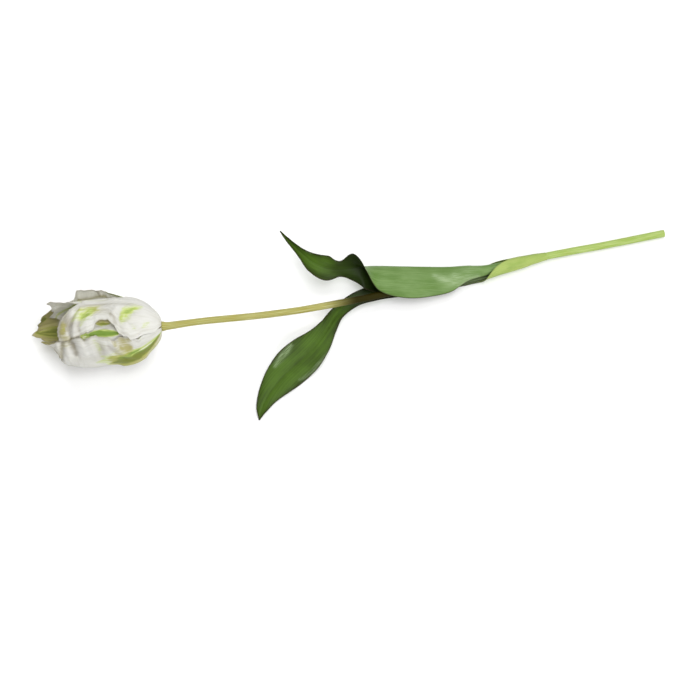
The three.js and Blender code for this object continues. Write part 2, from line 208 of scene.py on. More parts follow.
# Least bend and share that are used, so that nothing is divided by zero.
SMALL_BEND = 1e-3
SMALL_SHARE = 0.05

# Petal profiles: distance along the bloom axis and distance from that axis.
OUTER_PROFILE = [
    (-0.5, 4.7), (-0.1, 7.2), (1.0, 10), (3.5, 13.8), (8.2, 18.8), (14.5, 23.4), (24, 27.2), (35, 28.8),
    (48, 29.3), (62, 29), (74, 27.6), (84, 25.2), (94, 21.4), (103, 16.8), (110, 12.2),
]
INNER_PROFILE = [
    (1.7, 3.2), (2.2, 6.4), (3.2, 8.8), (5.6, 11.6), (10.2, 16), (16.2, 20.2), (25, 23.7), (36, 25.3),
    (48, 25.9), (61, 25.6), (73, 24.2), (82, 21.8), (91, 18.2), (99, 13.8), (106, 9.0),
]

# Shade is painted shade in the folds; tan is the petals' own olive tan and painted shade in the throat.
# Petals by the angle round the bloom axis (0 = +Y, 90 = up, 180 = -Y).
# middle: degrees round the axis. seed: of the petal's own unevenness.
# lap: millimetres that the near edge stands outside the profile, and the far edge inside it.
# far and near: (share of the profile, degrees from the middle to that side edge).
# tips: (side, share of the profile where the petal ends), side -1 is far and 1 is near.
# flares: (side, rows of (share of the profile, outward millimetres at that side's edge)).
# folds: (line of (share, angle), half width, height), below 0 for a valley.
# green, tan and shade: (line of (share, angle), half width, strength).
PETALS = {
    "outer_petal_1": {
        "profile": OUTER_PROFILE, "middle": 50, "lap": 0.75, "seed": 11,
        "far": [
            (0, 55), (0.1, 56), (0.2, 56), (0.26, 50), (0.31, 40), (0.36, 26), (0.41, 12), (0.46, 5),
            (0.62, 3),
        ],
        "near": [
            (0, 56), (0.04, 66), (0.094, 75), (0.162, 74), (0.2, 75), (0.236, 78), (0.278, 78.5),
            (0.29, 74), (0.322, 71), (0.346, 67), (0.358, 64), (0.37, 58), (0.376, 54), (0.388, 51),
            (0.41, 46), (0.42, 43.5), (0.446, 44.5), (0.472, 43.5), (0.492, 47), (0.504, 50), (0.51, 55),
            (0.514, 58), (0.542, 60), (0.582, 63), (0.616, 66), (0.658, 69), (0.708, 74), (0.756, 75),
        ],
        "tips": [
            (-1, 0.6), (0, 0.6), (0.08, 0.634), (0.19, 0.672),
            (0.32, 0.706), (0.43, 0.734), (0.59, 0.756), (0.76, 0.764), (0.91, 0.76), (1, 0.756),
        ],
        "flares": [(1, [(0.2, 0), (0.3, 0.8), (0.4, 0), (0.55, 0), (0.66, 0.6), (0.75, 0)])],
        "folds": [
            ([(0.6, 57), (0.5, 59), (0.42, 59), (0.35, 55), (0.28, 48)], 1.6, -0.5),
            ([(0.62, 74), (0.648, 86), (0.672, 99), (0.678, 110), (0.672, 121)], 2.8, -1.1),
            ([(0.66, 72), (0.684, 84), (0.69, 94)], 2.2, 0.6),
            ([(0.6, 68), (0.625, 80), (0.645, 94), (0.648, 106), (0.65, 116)], 2.2, 1.2),
            ([(0.56, 76), (0.6, 88), (0.615, 100), (0.61, 110)], 2.4, -0.8),
            ([(0.5, 88), (0.55, 96), (0.56, 106)], 4.0, 0.8),
            ([(0.36, 70), (0.39, 84), (0.396, 94)], 2.6, 1.0),
            ([(0.345, 84), (0.352, 98), (0.34, 108)], 2.4, -1.0),
            ([(0.214, 65), (0.268, 80), (0.3, 90), (0.32, 98)], 3.0, -0.8),
            ([(0.28, 104), (0.24, 108), (0.2, 106)], 3.2, -1.1),
            ([(0.31, 114), (0.26, 119), (0.21, 118)], 2.4, 0.8),
            ([(0.18, 96), (0.12, 92)], 4.0, -0.6),
            ([(0.1, 32), (0.2, 27), (0.3, 26), (0.36, 28)], 9.0, -1.4),
            ([(0.15, 0), (0.24, 2), (0.31, 9)], 4.5, 1.0),
        ],
        "green": [
            ([(0.48, 66), (0.55, 71), (0.61, 79), (0.655, 91)], 4.0, 0.5),
            ([(0.48, 74), (0.53, 78), (0.57, 86), (0.6, 99)], 3.6, 0.5),
            ([(0.5, 71), (0.56, 78), (0.615, 90)], 3.0, 0.3),
            ([(0.19, 60), (0.25, 69), (0.3, 77), (0.335, 90)], 4.6, 0.6),
            ([(0.265, 76), (0.305, 84), (0.33, 99)], 5.2, 0.5),
            ([(0.716, 100), (0.716, 105)], 1.2, 0.8),
            ([(0.58, 51), (0.5, 50), (0.42, 50)], 1.0, 0.35),
            ([(0.64, 45), (0.64, 54), (0.68, 64), (0.71, 78)], 2.6, 0.5),
            ([(0.14, 98), (0.19, 109)], 4.0, 0.5),
            ([(0.26, 104), (0.24, 112)], 3.4, 0.32),
        ],
        "tan": [
            ([(0.64, 62), (0.56, 58), (0.46, 57), (0.38, 58), (0.33, 61)], 6.0, 0.2),
            ([(0.61, 74), (0.55, 69), (0.48, 70)], 5.0, 0.3),
            ([(0.495, 80), (0.46, 78), (0.415, 84)], 4.2, 0.3),
            ([(0.735, 64), (0.745, 80), (0.752, 96), (0.748, 110), (0.73, 121)], 3.4, 0.22),
            ([(0.718, 97), (0.722, 106)], 3.0, 0.85),
            ([(0.7, 76), (0.705, 92), (0.7, 106), (0.69, 121)], 4.0, 0.26),
            ([(0.73, 116), (0.69, 122)], 4.0, 0.4),
            ([(0.63, 98), (0.615, 106)], 3.0, 0.2),
        ],
        "shade": [
            ([(0.6, 50), (0.5, 50), (0.42, 50), (0.36, 46)], 1.4, 0.4),
            ([(0.63, 78), (0.652, 88), (0.672, 99), (0.678, 110), (0.672, 121)], 2.2, 0.7),
            ([(0.66, 66), (0.69, 76), (0.7, 88), (0.7, 104)], 3.4, 0.4),
            ([(0.75, 66), (0.752, 90), (0.745, 118)], 4.4, 0.6),
            ([(0.7, 80), (0.66, 94), (0.63, 108)], 7.0, 0.34),
            ([(0.56, 78), (0.6, 89), (0.615, 100), (0.61, 108)], 2.6, 0.5),
            ([(0.6, 64), (0.5, 62), (0.4, 64), (0.3, 62), (0.22, 60)], 2.6, 0.42),
            ([(0.52, 84), (0.46, 77), (0.42, 78), (0.38, 88)], 2.6, 0.36),
            ([(0.4, 84), (0.384, 93), (0.37, 100)], 2.8, 0.5),
            ([(0.345, 86), (0.352, 98), (0.34, 106)], 2.8, 0.3),
            ([(0.27, 105), (0.23, 107)], 3.4, 0.28),
        ],
    },
    "outer_petal_2": {
        "profile": OUTER_PROFILE, "middle": 178, "lap": 0.75, "seed": 12,
        "far": [
            (0, 58), (0.05, 56), (0.096, 53), (0.14, 52.5), (0.19, 52), (0.208, 50), (0.222, 46),
            (0.236, 47), (0.25, 52), (0.28, 54), (0.31, 55), (0.35, 55), (0.37, 52), (0.39, 49),
            (0.402, 50), (0.416, 54), (0.448, 56), (0.486, 58),
            (0.512, 61), (0.532, 60), (0.558, 57), (0.586, 54), (0.6, 57), (0.612, 59), (0.638, 60),
            (0.658, 58), (0.68, 56), (0.712, 55), (0.738, 54), (0.762, 52), (0.786, 49), (0.808, 46),
            (0.83, 43), (0.86, 39),
        ],
        "near": [(0, 55), (0.2, 57), (0.5, 58), (0.62, 54), (0.7, 40)],
        "tips": [
            (-1, 0.865), (-0.84, 0.828), (-0.6, 0.795), (-0.3, 0.772), (0, 0.765), (0.4, 0.762),
            (0.7, 0.74), (1, 0.7),
        ],
        "flares": [(1, [(0.4, 0), (0.6, 1.5), (0.8, 0)])],
        "folds": [
            ([(0.69, 124), (0.668, 132), (0.652, 143), (0.645, 158)], 3.4, -1.7),
            ([(0.735, 124), (0.745, 142), (0.752, 160), (0.76, 175)], 2.2, -0.9),
            ([(0.775, 130), (0.77, 145), (0.765, 165)], 2.0, 0.9),
            ([(0.715, 128), (0.705, 145), (0.7, 165)], 2.4, 0.8),
            ([(0.63, 122), (0.6, 134), (0.58, 150)], 3.4, 0.9),
            ([(0.51, 122), (0.49, 136), (0.478, 153), (0.478, 168)], 5.0, -1.1),
            ([(0.56, 124), (0.54, 141), (0.522, 158)], 3.0, 0.6),
            ([(0.418, 128), (0.37, 144), (0.312, 162), (0.236, 178)], 2.4, 1.0),
            ([(0.43, 138), (0.385, 154), (0.33, 172)], 2.4, -0.6),
            ([(0.344, 150), (0.29, 160), (0.212, 176), (0.13, 184)], 2.0, -0.5),
            ([(0.335, 124), (0.315, 134), (0.297, 144)], 4.6, -0.9),
            ([(0.62, 185), (0.52, 190)], 6.0, 1.4),
            ([(0.34, 194), (0.27, 192), (0.2, 190)], 6.5, 2.6),
        ],
        "green": [
            ([
                (0.02, 150), (0.07, 155), (0.13, 162), (0.2, 167), (0.27, 172), (0.33, 177), (0.4, 180),
            ], 5.0, 1.5),
            ([(0.06, 148), (0.13, 151), (0.2, 154), (0.28, 160), (0.37, 166)], 3.6, 0.5),
            ([(0.24, 158), (0.33, 159), (0.41, 160), (0.48, 161)], 4.6, 0.55),
            ([(0.3, 168), (0.38, 170), (0.45, 171), (0.52, 174)], 4.0, 0.6),
            ([(0.04, 186), (0.14, 190), (0.24, 191), (0.34, 189), (0.44, 187)], 8.0, 0.8),
            ([(0.52, 126), (0.5, 138), (0.49, 152)], 4.4, 0.32),
            ([(0.21, 128), (0.225, 132)], 1.6, 0.8),
        ],
        "tan": [
            ([(0.345, 125), (0.325, 134), (0.297, 146)], 4.4, 0.8),
            ([(0.06, 160), (0.14, 171), (0.23, 178), (0.33, 184), (0.4, 187)], 5.0, 0.62),
            ([(0.05, 188), (0.2, 188), (0.36, 186)], 10.0, 0.6),
            ([(0.37, 145), (0.38, 156), (0.42, 166)], 4.4, 0.5),
            ([(0.395, 129), (0.385, 136)], 1.8, 0.6),
            ([(0.3, 150), (0.33, 154)], 4.0, 0.4),
            ([(0.69, 119), (0.7, 125), (0.71, 133)], 3.6, 0.5),
            ([(0.66, 134), (0.65, 144)], 2.6, 0.3),
            ([(0.733, 128), (0.745, 142), (0.75, 156), (0.755, 174)], 2.6, 0.3),
            ([(0.79, 140), (0.775, 160), (0.765, 180)], 2.2, 0.3),
        ],
        "shade": [
            ([(0.69, 122), (0.668, 132), (0.655, 143), (0.65, 156)], 4.0, 0.9),
            ([(0.733, 122), (0.745, 142), (0.75, 156), (0.758, 175)], 3.0, 0.8),
            ([(0.51, 124), (0.49, 136), (0.478, 153), (0.478, 168)], 6.5, 0.42),
            ([(0.43, 138), (0.385, 152), (0.33, 168), (0.28, 178)], 3.0, 0.45),
            ([(0.37, 130), (0.35, 142), (0.31, 156), (0.25, 170)], 3.6, 0.35),
            ([(0.8, 148), (0.785, 156)], 2.0, 0.7),
        ],
    },
    "outer_petal_3": {
        "profile": OUTER_PROFILE, "middle": 292, "lap": 0.75, "seed": 13,
        "far": [(0, 55), (0.2, 58), (0.6, 58), (0.8, 52), (0.88, 44)],
        "near": [
            (0, 55), (0.15, 60), (0.25, 76), (0.33, 84), (0.4, 77), (0.44, 69), (0.47, 66), (0.55, 67),
            (0.6, 68), (0.655, 68), (0.662, 66.5), (0.68, 65), (0.76, 62), (0.86, 60),
        ],
        "tips": [
            (-1, 0.7), (-0.8, 0.77), (-0.66, 0.86), (-0.5, 0.915), (-0.33, 0.935), (-0.26, 0.97),
            (-0.12, 0.995), (-0.03, 1.0), (0.08, 0.985), (0.22, 0.955), (0.37, 0.948), (0.5, 0.95),
            (0.6, 0.925), (0.82, 0.915), (1, 0.865),
        ],
        "flares": [
            (1, [
                (0.08, 0), (0.15, -2.0), (0.19, -2.6), (0.26, -3.3), (0.32, -4.2), (0.345, -3.2),
                (0.385, -0.8), (0.43, 2.3), (0.46, 5.5), (0.5, 7.5), (0.55, 6.7), (0.6, 6.6),
                (0.63, 7.5), (0.652, 7.9), (0.662, 3.3), (0.672, 0.4), (0.69, 0),
            ]),
        ],
        "folds": [
            ([(0.525, 360), (0.51, 356), (0.495, 350)], 1.8, -1.4),
            ([(0.6, 345), (0.62, 357)], 2.8, 0.8),
        ],
        "green": [
            ([(0.7, 286), (0.8, 288), (0.87, 289), (0.93, 292), (0.96, 296)], 4.4, 1.6),
            ([(0.78, 300), (0.86, 304), (0.93, 306)], 2.0, 0.5),
            ([(0.45, 360), (0.41, 366), (0.37, 370), (0.3, 373)], 2.6, 1.2),
            ([(0.93, 326), (0.89, 338)], 3.0, 1.5),
        ],
        "tan": [
            ([(0.84, 262), (0.9, 292), (0.9, 320), (0.86, 344)], 17.0, 1.25),
            ([(0.65, 344), (0.6, 345), (0.55, 346), (0.46, 349)], 2.0, 0.75),
            ([(0.655, 348), (0.655, 359)], 1.4, 0.2),
        ],
        "shade": [
            ([(0.52, 359), (0.508, 355), (0.498, 350)], 1.4, 1.0),
            ([(0.655, 345), (0.655, 359)], 1.4, 0.2),
            ([(0.5, 346), (0.46, 350)], 4.0, 0.2),
        ],
    },
    "inner_petal_1": {
        "profile": INNER_PROFILE, "middle": 114, "lap": 0.7, "seed": 14,
        "far": [(0, 50), (0.1, 52), (0.22, 54), (0.36, 54), (0.5, 52), (0.6, 46), (0.7, 34)],
        "near": [(0, 50), (0.1, 52), (0.22, 54), (0.36, 54), (0.5, 52), (0.6, 48), (0.7, 36)],
        "tips": [(-1, 0.66), (-0.4, 0.72), (0, 0.74), (0.4, 0.765), (1, 0.7)],
        "flares": [],
        "folds": [
            ([(0.42, 97), (0.49, 97)], 2.0, -1.0),
            ([(0.38, 105), (0.5, 104)], 2.0, 0.5),
            ([(0.54, 112), (0.63, 114)], 4.6, 1.2),
            ([(0.72, 124), (0.65, 128), (0.57, 129)], 4.0, -1.1),
            ([(0.66, 136), (0.64, 158)], 4.0, -1.2),
            ([(0.47, 159), (0.51, 167)], 4.0, -0.8),
        ],
        "green": [
            ([(0.36, 117), (0.42, 115), (0.48, 114), (0.54, 115)], 3.4, 2.4),
            ([(0.55, 116), (0.62, 121)], 3.2, 1.1),
            ([(0.41, 98), (0.5, 97)], 1.6, 1.15),
        ],
        "tan": [([(0.4, 91), (0.5, 91)], 4.0, 1.0), ([(0.66, 126), (0.76, 134)], 7.0, 0.8)],
        "shade": [([(0.39, 105), (0.5, 103)], 2.0, 0.5)],
    },
    "inner_petal_2": {
        "profile": INNER_PROFILE, "middle": 354, "lap": 0.7, "seed": 15,
        "far": [(0, 50), (0.1, 52), (0.3, 54), (0.5, 56), (0.65, 52), (0.77, 34)],
        "near": [(0, 50), (0.1, 52), (0.3, 54), (0.5, 57), (0.64, 58), (0.75, 48), (0.87, 28)],
        "tips": [
            (-1, 0.77), (-0.55, 0.83), (-0.34, 0.862), (-0.1, 0.875), (0.08, 0.87), (0.25, 0.845),
            (0.4, 0.835), (0.6, 0.85), (0.75, 0.845), (0.88, 0.855), (1, 0.885),
        ],
        "flares": [(1, [(0.6, 0), (0.67, 2.4), (0.76, 4.8), (0.88, 8.0)])],
        "folds": [
            ([(0.86, 384), (0.8, 388), (0.74, 396)], 2.4, -0.8),
            ([(0.35, 389), (0.42, 401), (0.49, 406)], 4.0, -0.7),
        ],
        "green": [
            ([(0.82, 341), (0.796, 345), (0.752, 350), (0.717, 353), (0.688, 360), (0.66, 368)], 3.8, 0.7),
            ([(0.69, 380), (0.63, 392), (0.56, 402), (0.48, 405)], 2.0, 0.6),
            ([(0.85, 330), (0.83, 336)], 2.6, 1.0),
        ],
        "tan": [
            ([(0.8, 340), (0.74, 346), (0.68, 352)], 6.0, 0.3),
            ([(0.87, 382), (0.805, 386), (0.75, 398)], 3.4, 0.3),
        ],
        "shade": [
            ([(0.805, 388), (0.75, 400), (0.7, 406)], 3.0, 0.3),
        ],
    },
    "inner_petal_3": {
        "profile": INNER_PROFILE, "middle": 234, "lap": 0.7, "seed": 16,
        "far": [(0, 50), (0.1, 52), (0.3, 54), (0.5, 56), (0.65, 50), (0.78, 30)],
        "near": [(0, 50), (0.1, 52), (0.3, 54), (0.5, 56), (0.65, 52), (0.75, 46), (0.87, 34)],
        "tips": [
            (-1, 0.78), (0, 0.78), (0.3, 0.8), (0.42, 0.86), (0.52, 0.94), (0.6, 0.96), (0.75, 0.95),
            (1, 0.87),
        ],
        "flares": [],
        "folds": [],
        "green": [([(0.6, 240), (0.75, 243), (0.86, 246)], 3.4, 0.8)],
        "tan": [([(0.72, 222), (0.84, 240), (0.95, 252)], 16.0, 1.0)],
        "shade": [],
    },
}
BLOOM_GAUGE = 27.0

# Teeth of the fringe: ranges of their widths and of where the cuts lie between two tips, then of the
# depths of tips and cuts. A depth of TOOTH_MIDDLE leaves the edge where it is.
TOOTH_WIDTHS = (0.55, 1.45)
TOOTH_CUTS = (0.3, 0.7)
TOOTH_TIP_DEPTHS = (0, 0.35)
TOOTH_CUT_DEPTHS = (0.5, 1)
TOOTH_MIDDLE = 0.4
SPARE_TEETH = 4
TIP_TOOTH_SPACING = 4.2
TIP_TOOTH_SHIFT = 60
SIDE_TOOTH_SPACING = 4.6
SIDE_TOOTH_SEED = 50
SIDE_TOOTH_START = (0.15, 0.3)
SIDE_TOOTH_REACH = (0.4, 1)

# Waves of the petals: number added to the petal's seed, longest and shortest wave.
SIDE_WAVES = (3, 20, 8)
TIP_WAVES = (5, 18, 7)
RIB_WAVES = (7, 5.0, 1.6)
SWELL_WAVES = (9, 40, 16)
# How the waves are stretched along an edge or a rib, and where on the petal each kind grows.
SIDE_STRETCH = 0.3
TIP_STRETCH = 0.2
RIB_STRETCH = 0.02
RIB_GAUGE = 30
RIB_COUNT = 9
RELIEF_START = (0.08, 0.3)
SIDE_ZONE = (0.62, 1)
TIP_ZONE = (0.86, 1)
ROLL_ZONE = (0.94, 1)
# The ruffle of each side edge: steady lift and share of the waves, by the ruffle setting.
NEAR_RUFFLE = (0.45, 0.45)
FAR_RUFFLE = (-0.25, 0.3)
TIP_RUFFLE = 0.5
SWELL_HEIGHT = 0.35
PETAL_CROWDING = 0.3
EDGE_THICKNESS = 0.45
EDGE_WIDTH = 3.5
PETAL_RIM = 0.8
PETAL_RIM_START = (0.15, 0.4)

# How the strokes of each painted layer look, and those of the folds and the highlights.
STROKE_STYLES = {
    "green": {"taper": 0.6, "hairs": 12},
    "tan": {"sharpness": 2.4, "hairs": 5},
    "shade": {"taper": 0.5, "hairs": 5},
}
SHINE_STYLE = {"taper": 0.5, "hairs": 6}
FOLD_STYLE = {"taper": 0.3}
# Lowest and highest shift, start, end, width and depth of a hair, and how it fades in and out.
HAIR_LOW = [-1.4, 0, 0.6, 0.1, -0.6]
HAIR_HIGH = [1.4, 0.5, 1, 0.28, 0.7]
HAIR_FADE_IN = 0.25
HAIR_FADE_OUT = 0.3

# Pistil and stamens: places by distance along the bloom axis and radius, outlines by share and radius.
# MESH is how many rings and sides a stalk has.
PISTIL_PLACES = [(3.3, 0), (15.3, 0), (27.3, 0)]
PISTIL_OUTLINE = [
    (0, 1.3), (0.1, 2.1), (0.25, 2.5), (0.5, 2.35), (0.7, 2.15), (0.82, 1.9), (0.86, 2.3),
    (0.91, 3.3), (0.96, 3.5), (1, 2.6),
]
PISTIL_MESH = (72, 48)
PISTIL_GROOVE = 0.05
STIGMA_LOBES = 3
STIGMA_LOBE = 0.22
STIGMA_START = (0.82, 0.93)
STAMEN_COUNT = 6
STAMEN_PLACES = [(3.5, 2.15), (9.8, 5.27), (17.15, 7.65), (24.5, 8.5)]
STAMEN_OUTLINE = [
    (0, 0.5), (0.3, 0.42), (0.44, 0.4), (0.5, 0.8), (0.56, 1.25), (0.85, 1.2), (0.95, 0.85), (1, 0.4),
]
STAMEN_MESH = (48, 24)
ANTHER_GROOVE = 0.28
ANTHER_SHARPNESS = 6
ANTHER_START = (0.46, 0.56)
STALK_CAP_RINGS = 2
STALK_GAUGE = 2.0

# Stage: places and sizes in metres, angles in degrees, lens and sensor in millimetres.
FLOOR_HALF = 6.0
LIGHTS_AIM = (-0.02, 0, 0)
LIGHTS = {
    "key": ((0.3, -0.2, 2.0), 1.2),
    "back": ((0.2, 1.1, 1.45), 1.3),
    "front": ((0.7, -1.3, 0.85), 0.9),
}
CAMERA_TARGET = (-0.0115, -0.0295, 0.0)
CAMERA_AZIMUTH = -10
CAMERA_ELEVATION = 70
CAMERA_DISTANCE = 1.6528
CAMERA_LENS = 100
CAMERA_SENSOR = 36
CAMERA_CLIP = (0.01, 50)


# ---------- settings a user would change ----------


def colour(name, description, default):
    return FloatVectorProperty(
        name=name, description=description, subtype="COLOR", size=4, min=0, max=1, default=(*default, 1)
    )


def length_setting(name, description, default, low, high):
    return FloatProperty(
        name=name, description=description, unit="LENGTH", default=default, min=low, max=high, precision=5
    )


def power_setting(name, description, default):
    return FloatProperty(name=name, description=description, unit="POWER", default=default)


def count_setting(name, description, default, low, high):
    return IntProperty(name=name, description=description, default=default, min=low, max=high)


class TulipBloomSettings(bpy.types.PropertyGroup):
    """Sizes and colours of the petals and what they hold."""

    thickness: length_setting("Petal thickness", "Thickness at the middle of a petal", 0.0005, 0.0002, 0.001)
    ruffle: length_setting("Ruffle", "Height of the waves along the free edges", 0.0012, 0, 0.004)
    ribs: length_setting("Ribs", "Height of the fine ribs along the petals", 0.00016, 0, 0.001)
    fringe: length_setting("Fringe", "Depth of the teeth cut in the edges", 0.0009, 0, 0.006)
    roll: length_setting("Rolled tips", "How far the tips roll inwards", 0.0012, 0, 0.004)
    rows: count_setting("Rows", "Mesh rows along a petal", 150, 30, 220)
    columns: count_setting("Columns", "Mesh columns across a petal", 112, 20, 160)
    white: colour("White", "Main colour of the petals", (0.81, 0.81, 0.8))
    blush: colour("Blush", "Faint beige in the white", (0.57, 0.56, 0.5))
    # Painted shade: this mauve grey stands in for the shade in the folds and creases.
    shade: colour("Shade", "Mauve grey of the folds", (0.36, 0.335, 0.285))
    flame: colour("Flame", "Yellow green of the flames", (0.5, 0.58, 0.17))
    flame_heart: colour("Flame heart", "Full green in the flames", (0.16, 0.265, 0.03))
    flame_ripe: colour("Ripe flame", "Yellow olive of flames in the tan", (0.36, 0.37, 0.08))
    olive: colour("Olive", "Darker green beside the tan", (0.165, 0.19, 0.02))
    # Own olive tan of the rims, also painted shade in the throat and the hollows.
    tan: colour("Tan", "Olive tan of the rims and the throat", (0.36, 0.33, 0.13))
    edge: colour("Edge", "Grey brown of the thin edges", (0.25, 0.21, 0.15))
    glow: colour("Glow", "Colour of the light that shines through", (0.88, 0.87, 0.76))
    pistil: colour("Pistil", "Pale green of the pistil", (0.46, 0.56, 0.2))
    pistil_streak: colour("Pistil streaks", "Deeper green in the pistil", (0.3, 0.42, 0.1))
    stigma: colour("Stigma", "Cream yellow of the three lobes", (0.72, 0.7, 0.4))
    filament: colour("Filament", "Pale green of a stamen's stalk", (0.5, 0.55, 0.3))
    filament_streak: colour("Filament streaks", "Deeper green in the stalk", (0.3, 0.32, 0.12))
    anther: colour("Anther", "Dark brown of the anthers", (0.07, 0.045, 0.02))
    pollen: colour("Pollen", "Ochre dust on the anthers", (0.3, 0.2, 0.05))


class TulipLeafSettings(bpy.types.PropertyGroup):
    """Sizes and colours of the leaves."""

    thickness: length_setting("Leaf thickness", "Thickness at the midrib", 0.0006, 0.0002, 0.0015)
    rows: count_setting("Rows", "Mesh rows along a leaf", 320, 60, 600)
    columns: count_setting("Columns", "Mesh columns across a leaf", 64, 12, 120)
    upper: colour("Upper side", "Glossy green of the side that faces the bloom", (0.062, 0.125, 0.011))
    upper_dark: colour("Upper side, dark", "Darker green between the veins", (0.024, 0.042, 0.005))
    under: colour("Under side", "Pale grey green of the other side", (0.088, 0.165, 0.036))
    under_pale: colour("Bloom on the under side", "Waxy bloom in streaks", (0.165, 0.26, 0.09))
    # Painted highlight: this light green stands in for the gloss of the leaves and lifts shaded slivers.
    shine: colour("Shine", "Waxy light green of the highlights", (0.26, 0.35, 0.18))
    sheath: colour("Sheath", "Yellow green where a leaf wraps the stem", (0.32, 0.4, 0.11))
    sheath_green: colour("Sheath, green", "Greener streaks in the sheath", (0.19, 0.29, 0.06))
    # Painted shade: the deepest green stands in for the shadow inside the folds.
    painted_shade: colour("Inside the folds", "Deepest green, where a leaf folds over", (0.008, 0.014, 0.003))
    edge: colour("Edge", "Dark brown of the thin edges", (0.03, 0.02, 0.012))


class TulipStemSettings(bpy.types.PropertyGroup):
    """Sizes and colours of the stem."""

    rings: count_setting("Rings", "Mesh rings along the stem", 420, 60, 900)
    around: count_setting("Sides", "Mesh sides round the stem", 48, 12, 96)
    olive: colour("Near the bloom", "Olive yellow of the bare stem", (0.29, 0.26, 0.06))
    green: colour("Near the cut", "Yellow green of the lower stem", (0.25, 0.355, 0.07))
    mottle: colour("Mottle", "Ochre of the faint mottling", (0.3, 0.3, 0.07))
    # Painted shade: this dark brown green stands in for the shadow where the leaves fold round the stem.
    dark: colour("Inside the leaves", "Dark brown green where the leaves hold it", (0.02, 0.017, 0.001))
    cut: colour("Cut face", "Pale pith at the cut", (0.72, 0.76, 0.45))


class TulipStageSettings(bpy.types.PropertyGroup):
    """Floor and lights."""

    key: power_setting("Key light", "Power of the main soft light", 20.0)
    back: power_setting("Back light", "Power of the light from behind", 16.0)
    front: power_setting("Front light", "Power of the low light", 15.0)
    sky: FloatProperty(name="Surroundings", description="Strength of the even light", default=0.46)
    glow: FloatProperty(name="Floor glow", description="Light that the floor gives off", default=0.14)
    floor: colour("Floor", "Colour of the floor", (0.78, 0.78, 0.78))
    grain: colour("Floor grain", "Paler grain of the floor", (0.88, 0.88, 0.88))


# ---------- shader maths ----------


class Value:
    """A socket used in a Python expression: each operation adds the Math node that does it."""

    def __init__(self, finish, socket):
        self.finish = finish
        self.socket = socket

    def maths(self, operation, *operands):
        return self.finish.add("ShaderNodeMath", {"operation": operation}, dict(enumerate(operands)))

    def __add__(self, other):
        return self.maths("ADD", self, other)

    __radd__ = __add__

    def __sub__(self, other):
        return self.maths("SUBTRACT", self, other)

    def __rsub__(self, other):
        return self.maths("SUBTRACT", other, self)

    def __mul__(self, other):
        return self.maths("MULTIPLY", self, other)

    __rmul__ = __mul__

    def between(self, low, high):
        """0 below low, 1 above high, and smooth between them."""
        settings = {"interpolation_type": "SMOOTHSTEP"}
        values = {"Value": self, "From Min": low, "From Max": high}
        return self.finish.add("ShaderNodeMapRange", settings, values)


class Finish:
    """A new material made of nodes in code."""

    def __init__(self, name):
        self.material = bpy.data.materials.new(name)
        self.material.use_nodes = True
        self.tree = self.material.node_tree
        self.tree.nodes.clear()

    def add(self, kind, settings=None, values=None, output=0):
        """A node of that kind, its settings set first, then the values or links of its sockets.

        Returns the value of one output, or None from a node that has no output.
        """
        node = self.tree.nodes.new(kind)
        for key, setting in (settings or {}).items():
            setattr(node, key, setting)
        for key, value in (values or {}).items():
            if isinstance(value, Value):
                self.tree.links.new(value.socket, node.inputs[key])
            else:
                node.inputs[key].default_value = value
        return Value(self, node.outputs[output]) if node.outputs else None

    def layer(self, name):
        """A painted layer of the mesh."""
        return self.add("ShaderNodeAttribute", {"attribute_name": name}, output="Fac")

    def place(self, along, across):
        """Where a point lies on the sheet, in millimetres, stretched by the two factors."""
        spot = self.add("ShaderNodeUVMap", {"uv_map": "Sheet"})
        scale = {0: spot, 1: (along, across, 1)}
        return self.add("ShaderNodeVectorMath", {"operation": "MULTIPLY"}, scale)

    def noise(self, spot, scale, detail=3.0, roughness=0.5):
        values = {"Vector": spot, "Scale": scale, "Detail": detail, "Roughness": roughness}
        return self.add("ShaderNodeTexNoise", {}, values)

    def mix(self, share, first, second):
        """A colour between the two."""
        return self.add("ShaderNodeMix", {"data_type": "RGBA"}, {0: share, 6: first, 7: second}, output=2)

    def bump(self, height, strength, distance):
        values = {"Height": height, "Strength": strength, "Distance": distance}
        return self.add("ShaderNodeBump", {}, values)

    def skin(self, values):
        """The shader of a surface, with those values of its sockets."""
        return self.add("ShaderNodeBsdfPrincipled", {}, values)

    def surface(self, shader):
        """The material, with its surface set to that shader."""
        self.add("ShaderNodeOutputMaterial", {}, {"Surface": shader})
        return self.material


# ---------- shapes ----------


def smoothstep(x, low, high):
    t = np.clip((x - low) / (high - low), 0, 1)
    return t * t * (3 - 2 * t)


def unit(vectors):
    return vectors / np.linalg.norm(vectors, axis=-1, keepdims=True)


def eased(rows, x, column=1, level=True):
    """Smooth value at x through rows of (x, value, ...). With level it never overshoots a row."""
    rows = np.asarray(rows, float)
    knots = rows[:, 0]
    values = rows[:, column]
    gaps = np.diff(knots)
    slopes = np.diff(values) / gaps
    tangents = np.concatenate([slopes[:1], np.zeros(len(knots) - 2), slopes[-1:]])
    before = slopes[:-1]
    after = slopes[1:]
    if level:
        together = before * after > 0
        total = np.where(together, before + after, 1)
        tangents[1:-1] = np.where(together, 2 * before * after / total, 0)
    else:
        tangents[1:-1] = (values[2:] - values[:-2]) / (knots[2:] - knots[:-2])
    x = np.clip(x, knots[0], knots[-1])
    k = np.clip(np.searchsorted(knots, x) - 1, 0, len(gaps) - 1)
    span = gaps[k]
    w = (x - knots[k]) / span
    rise = values[k + 1] - values[k]
    start = tangents[k] * span
    end = tangents[k + 1] * span
    return values[k] + w * (start + w * (3 * rise - 2 * start - end + w * (start + end - 2 * rise)))


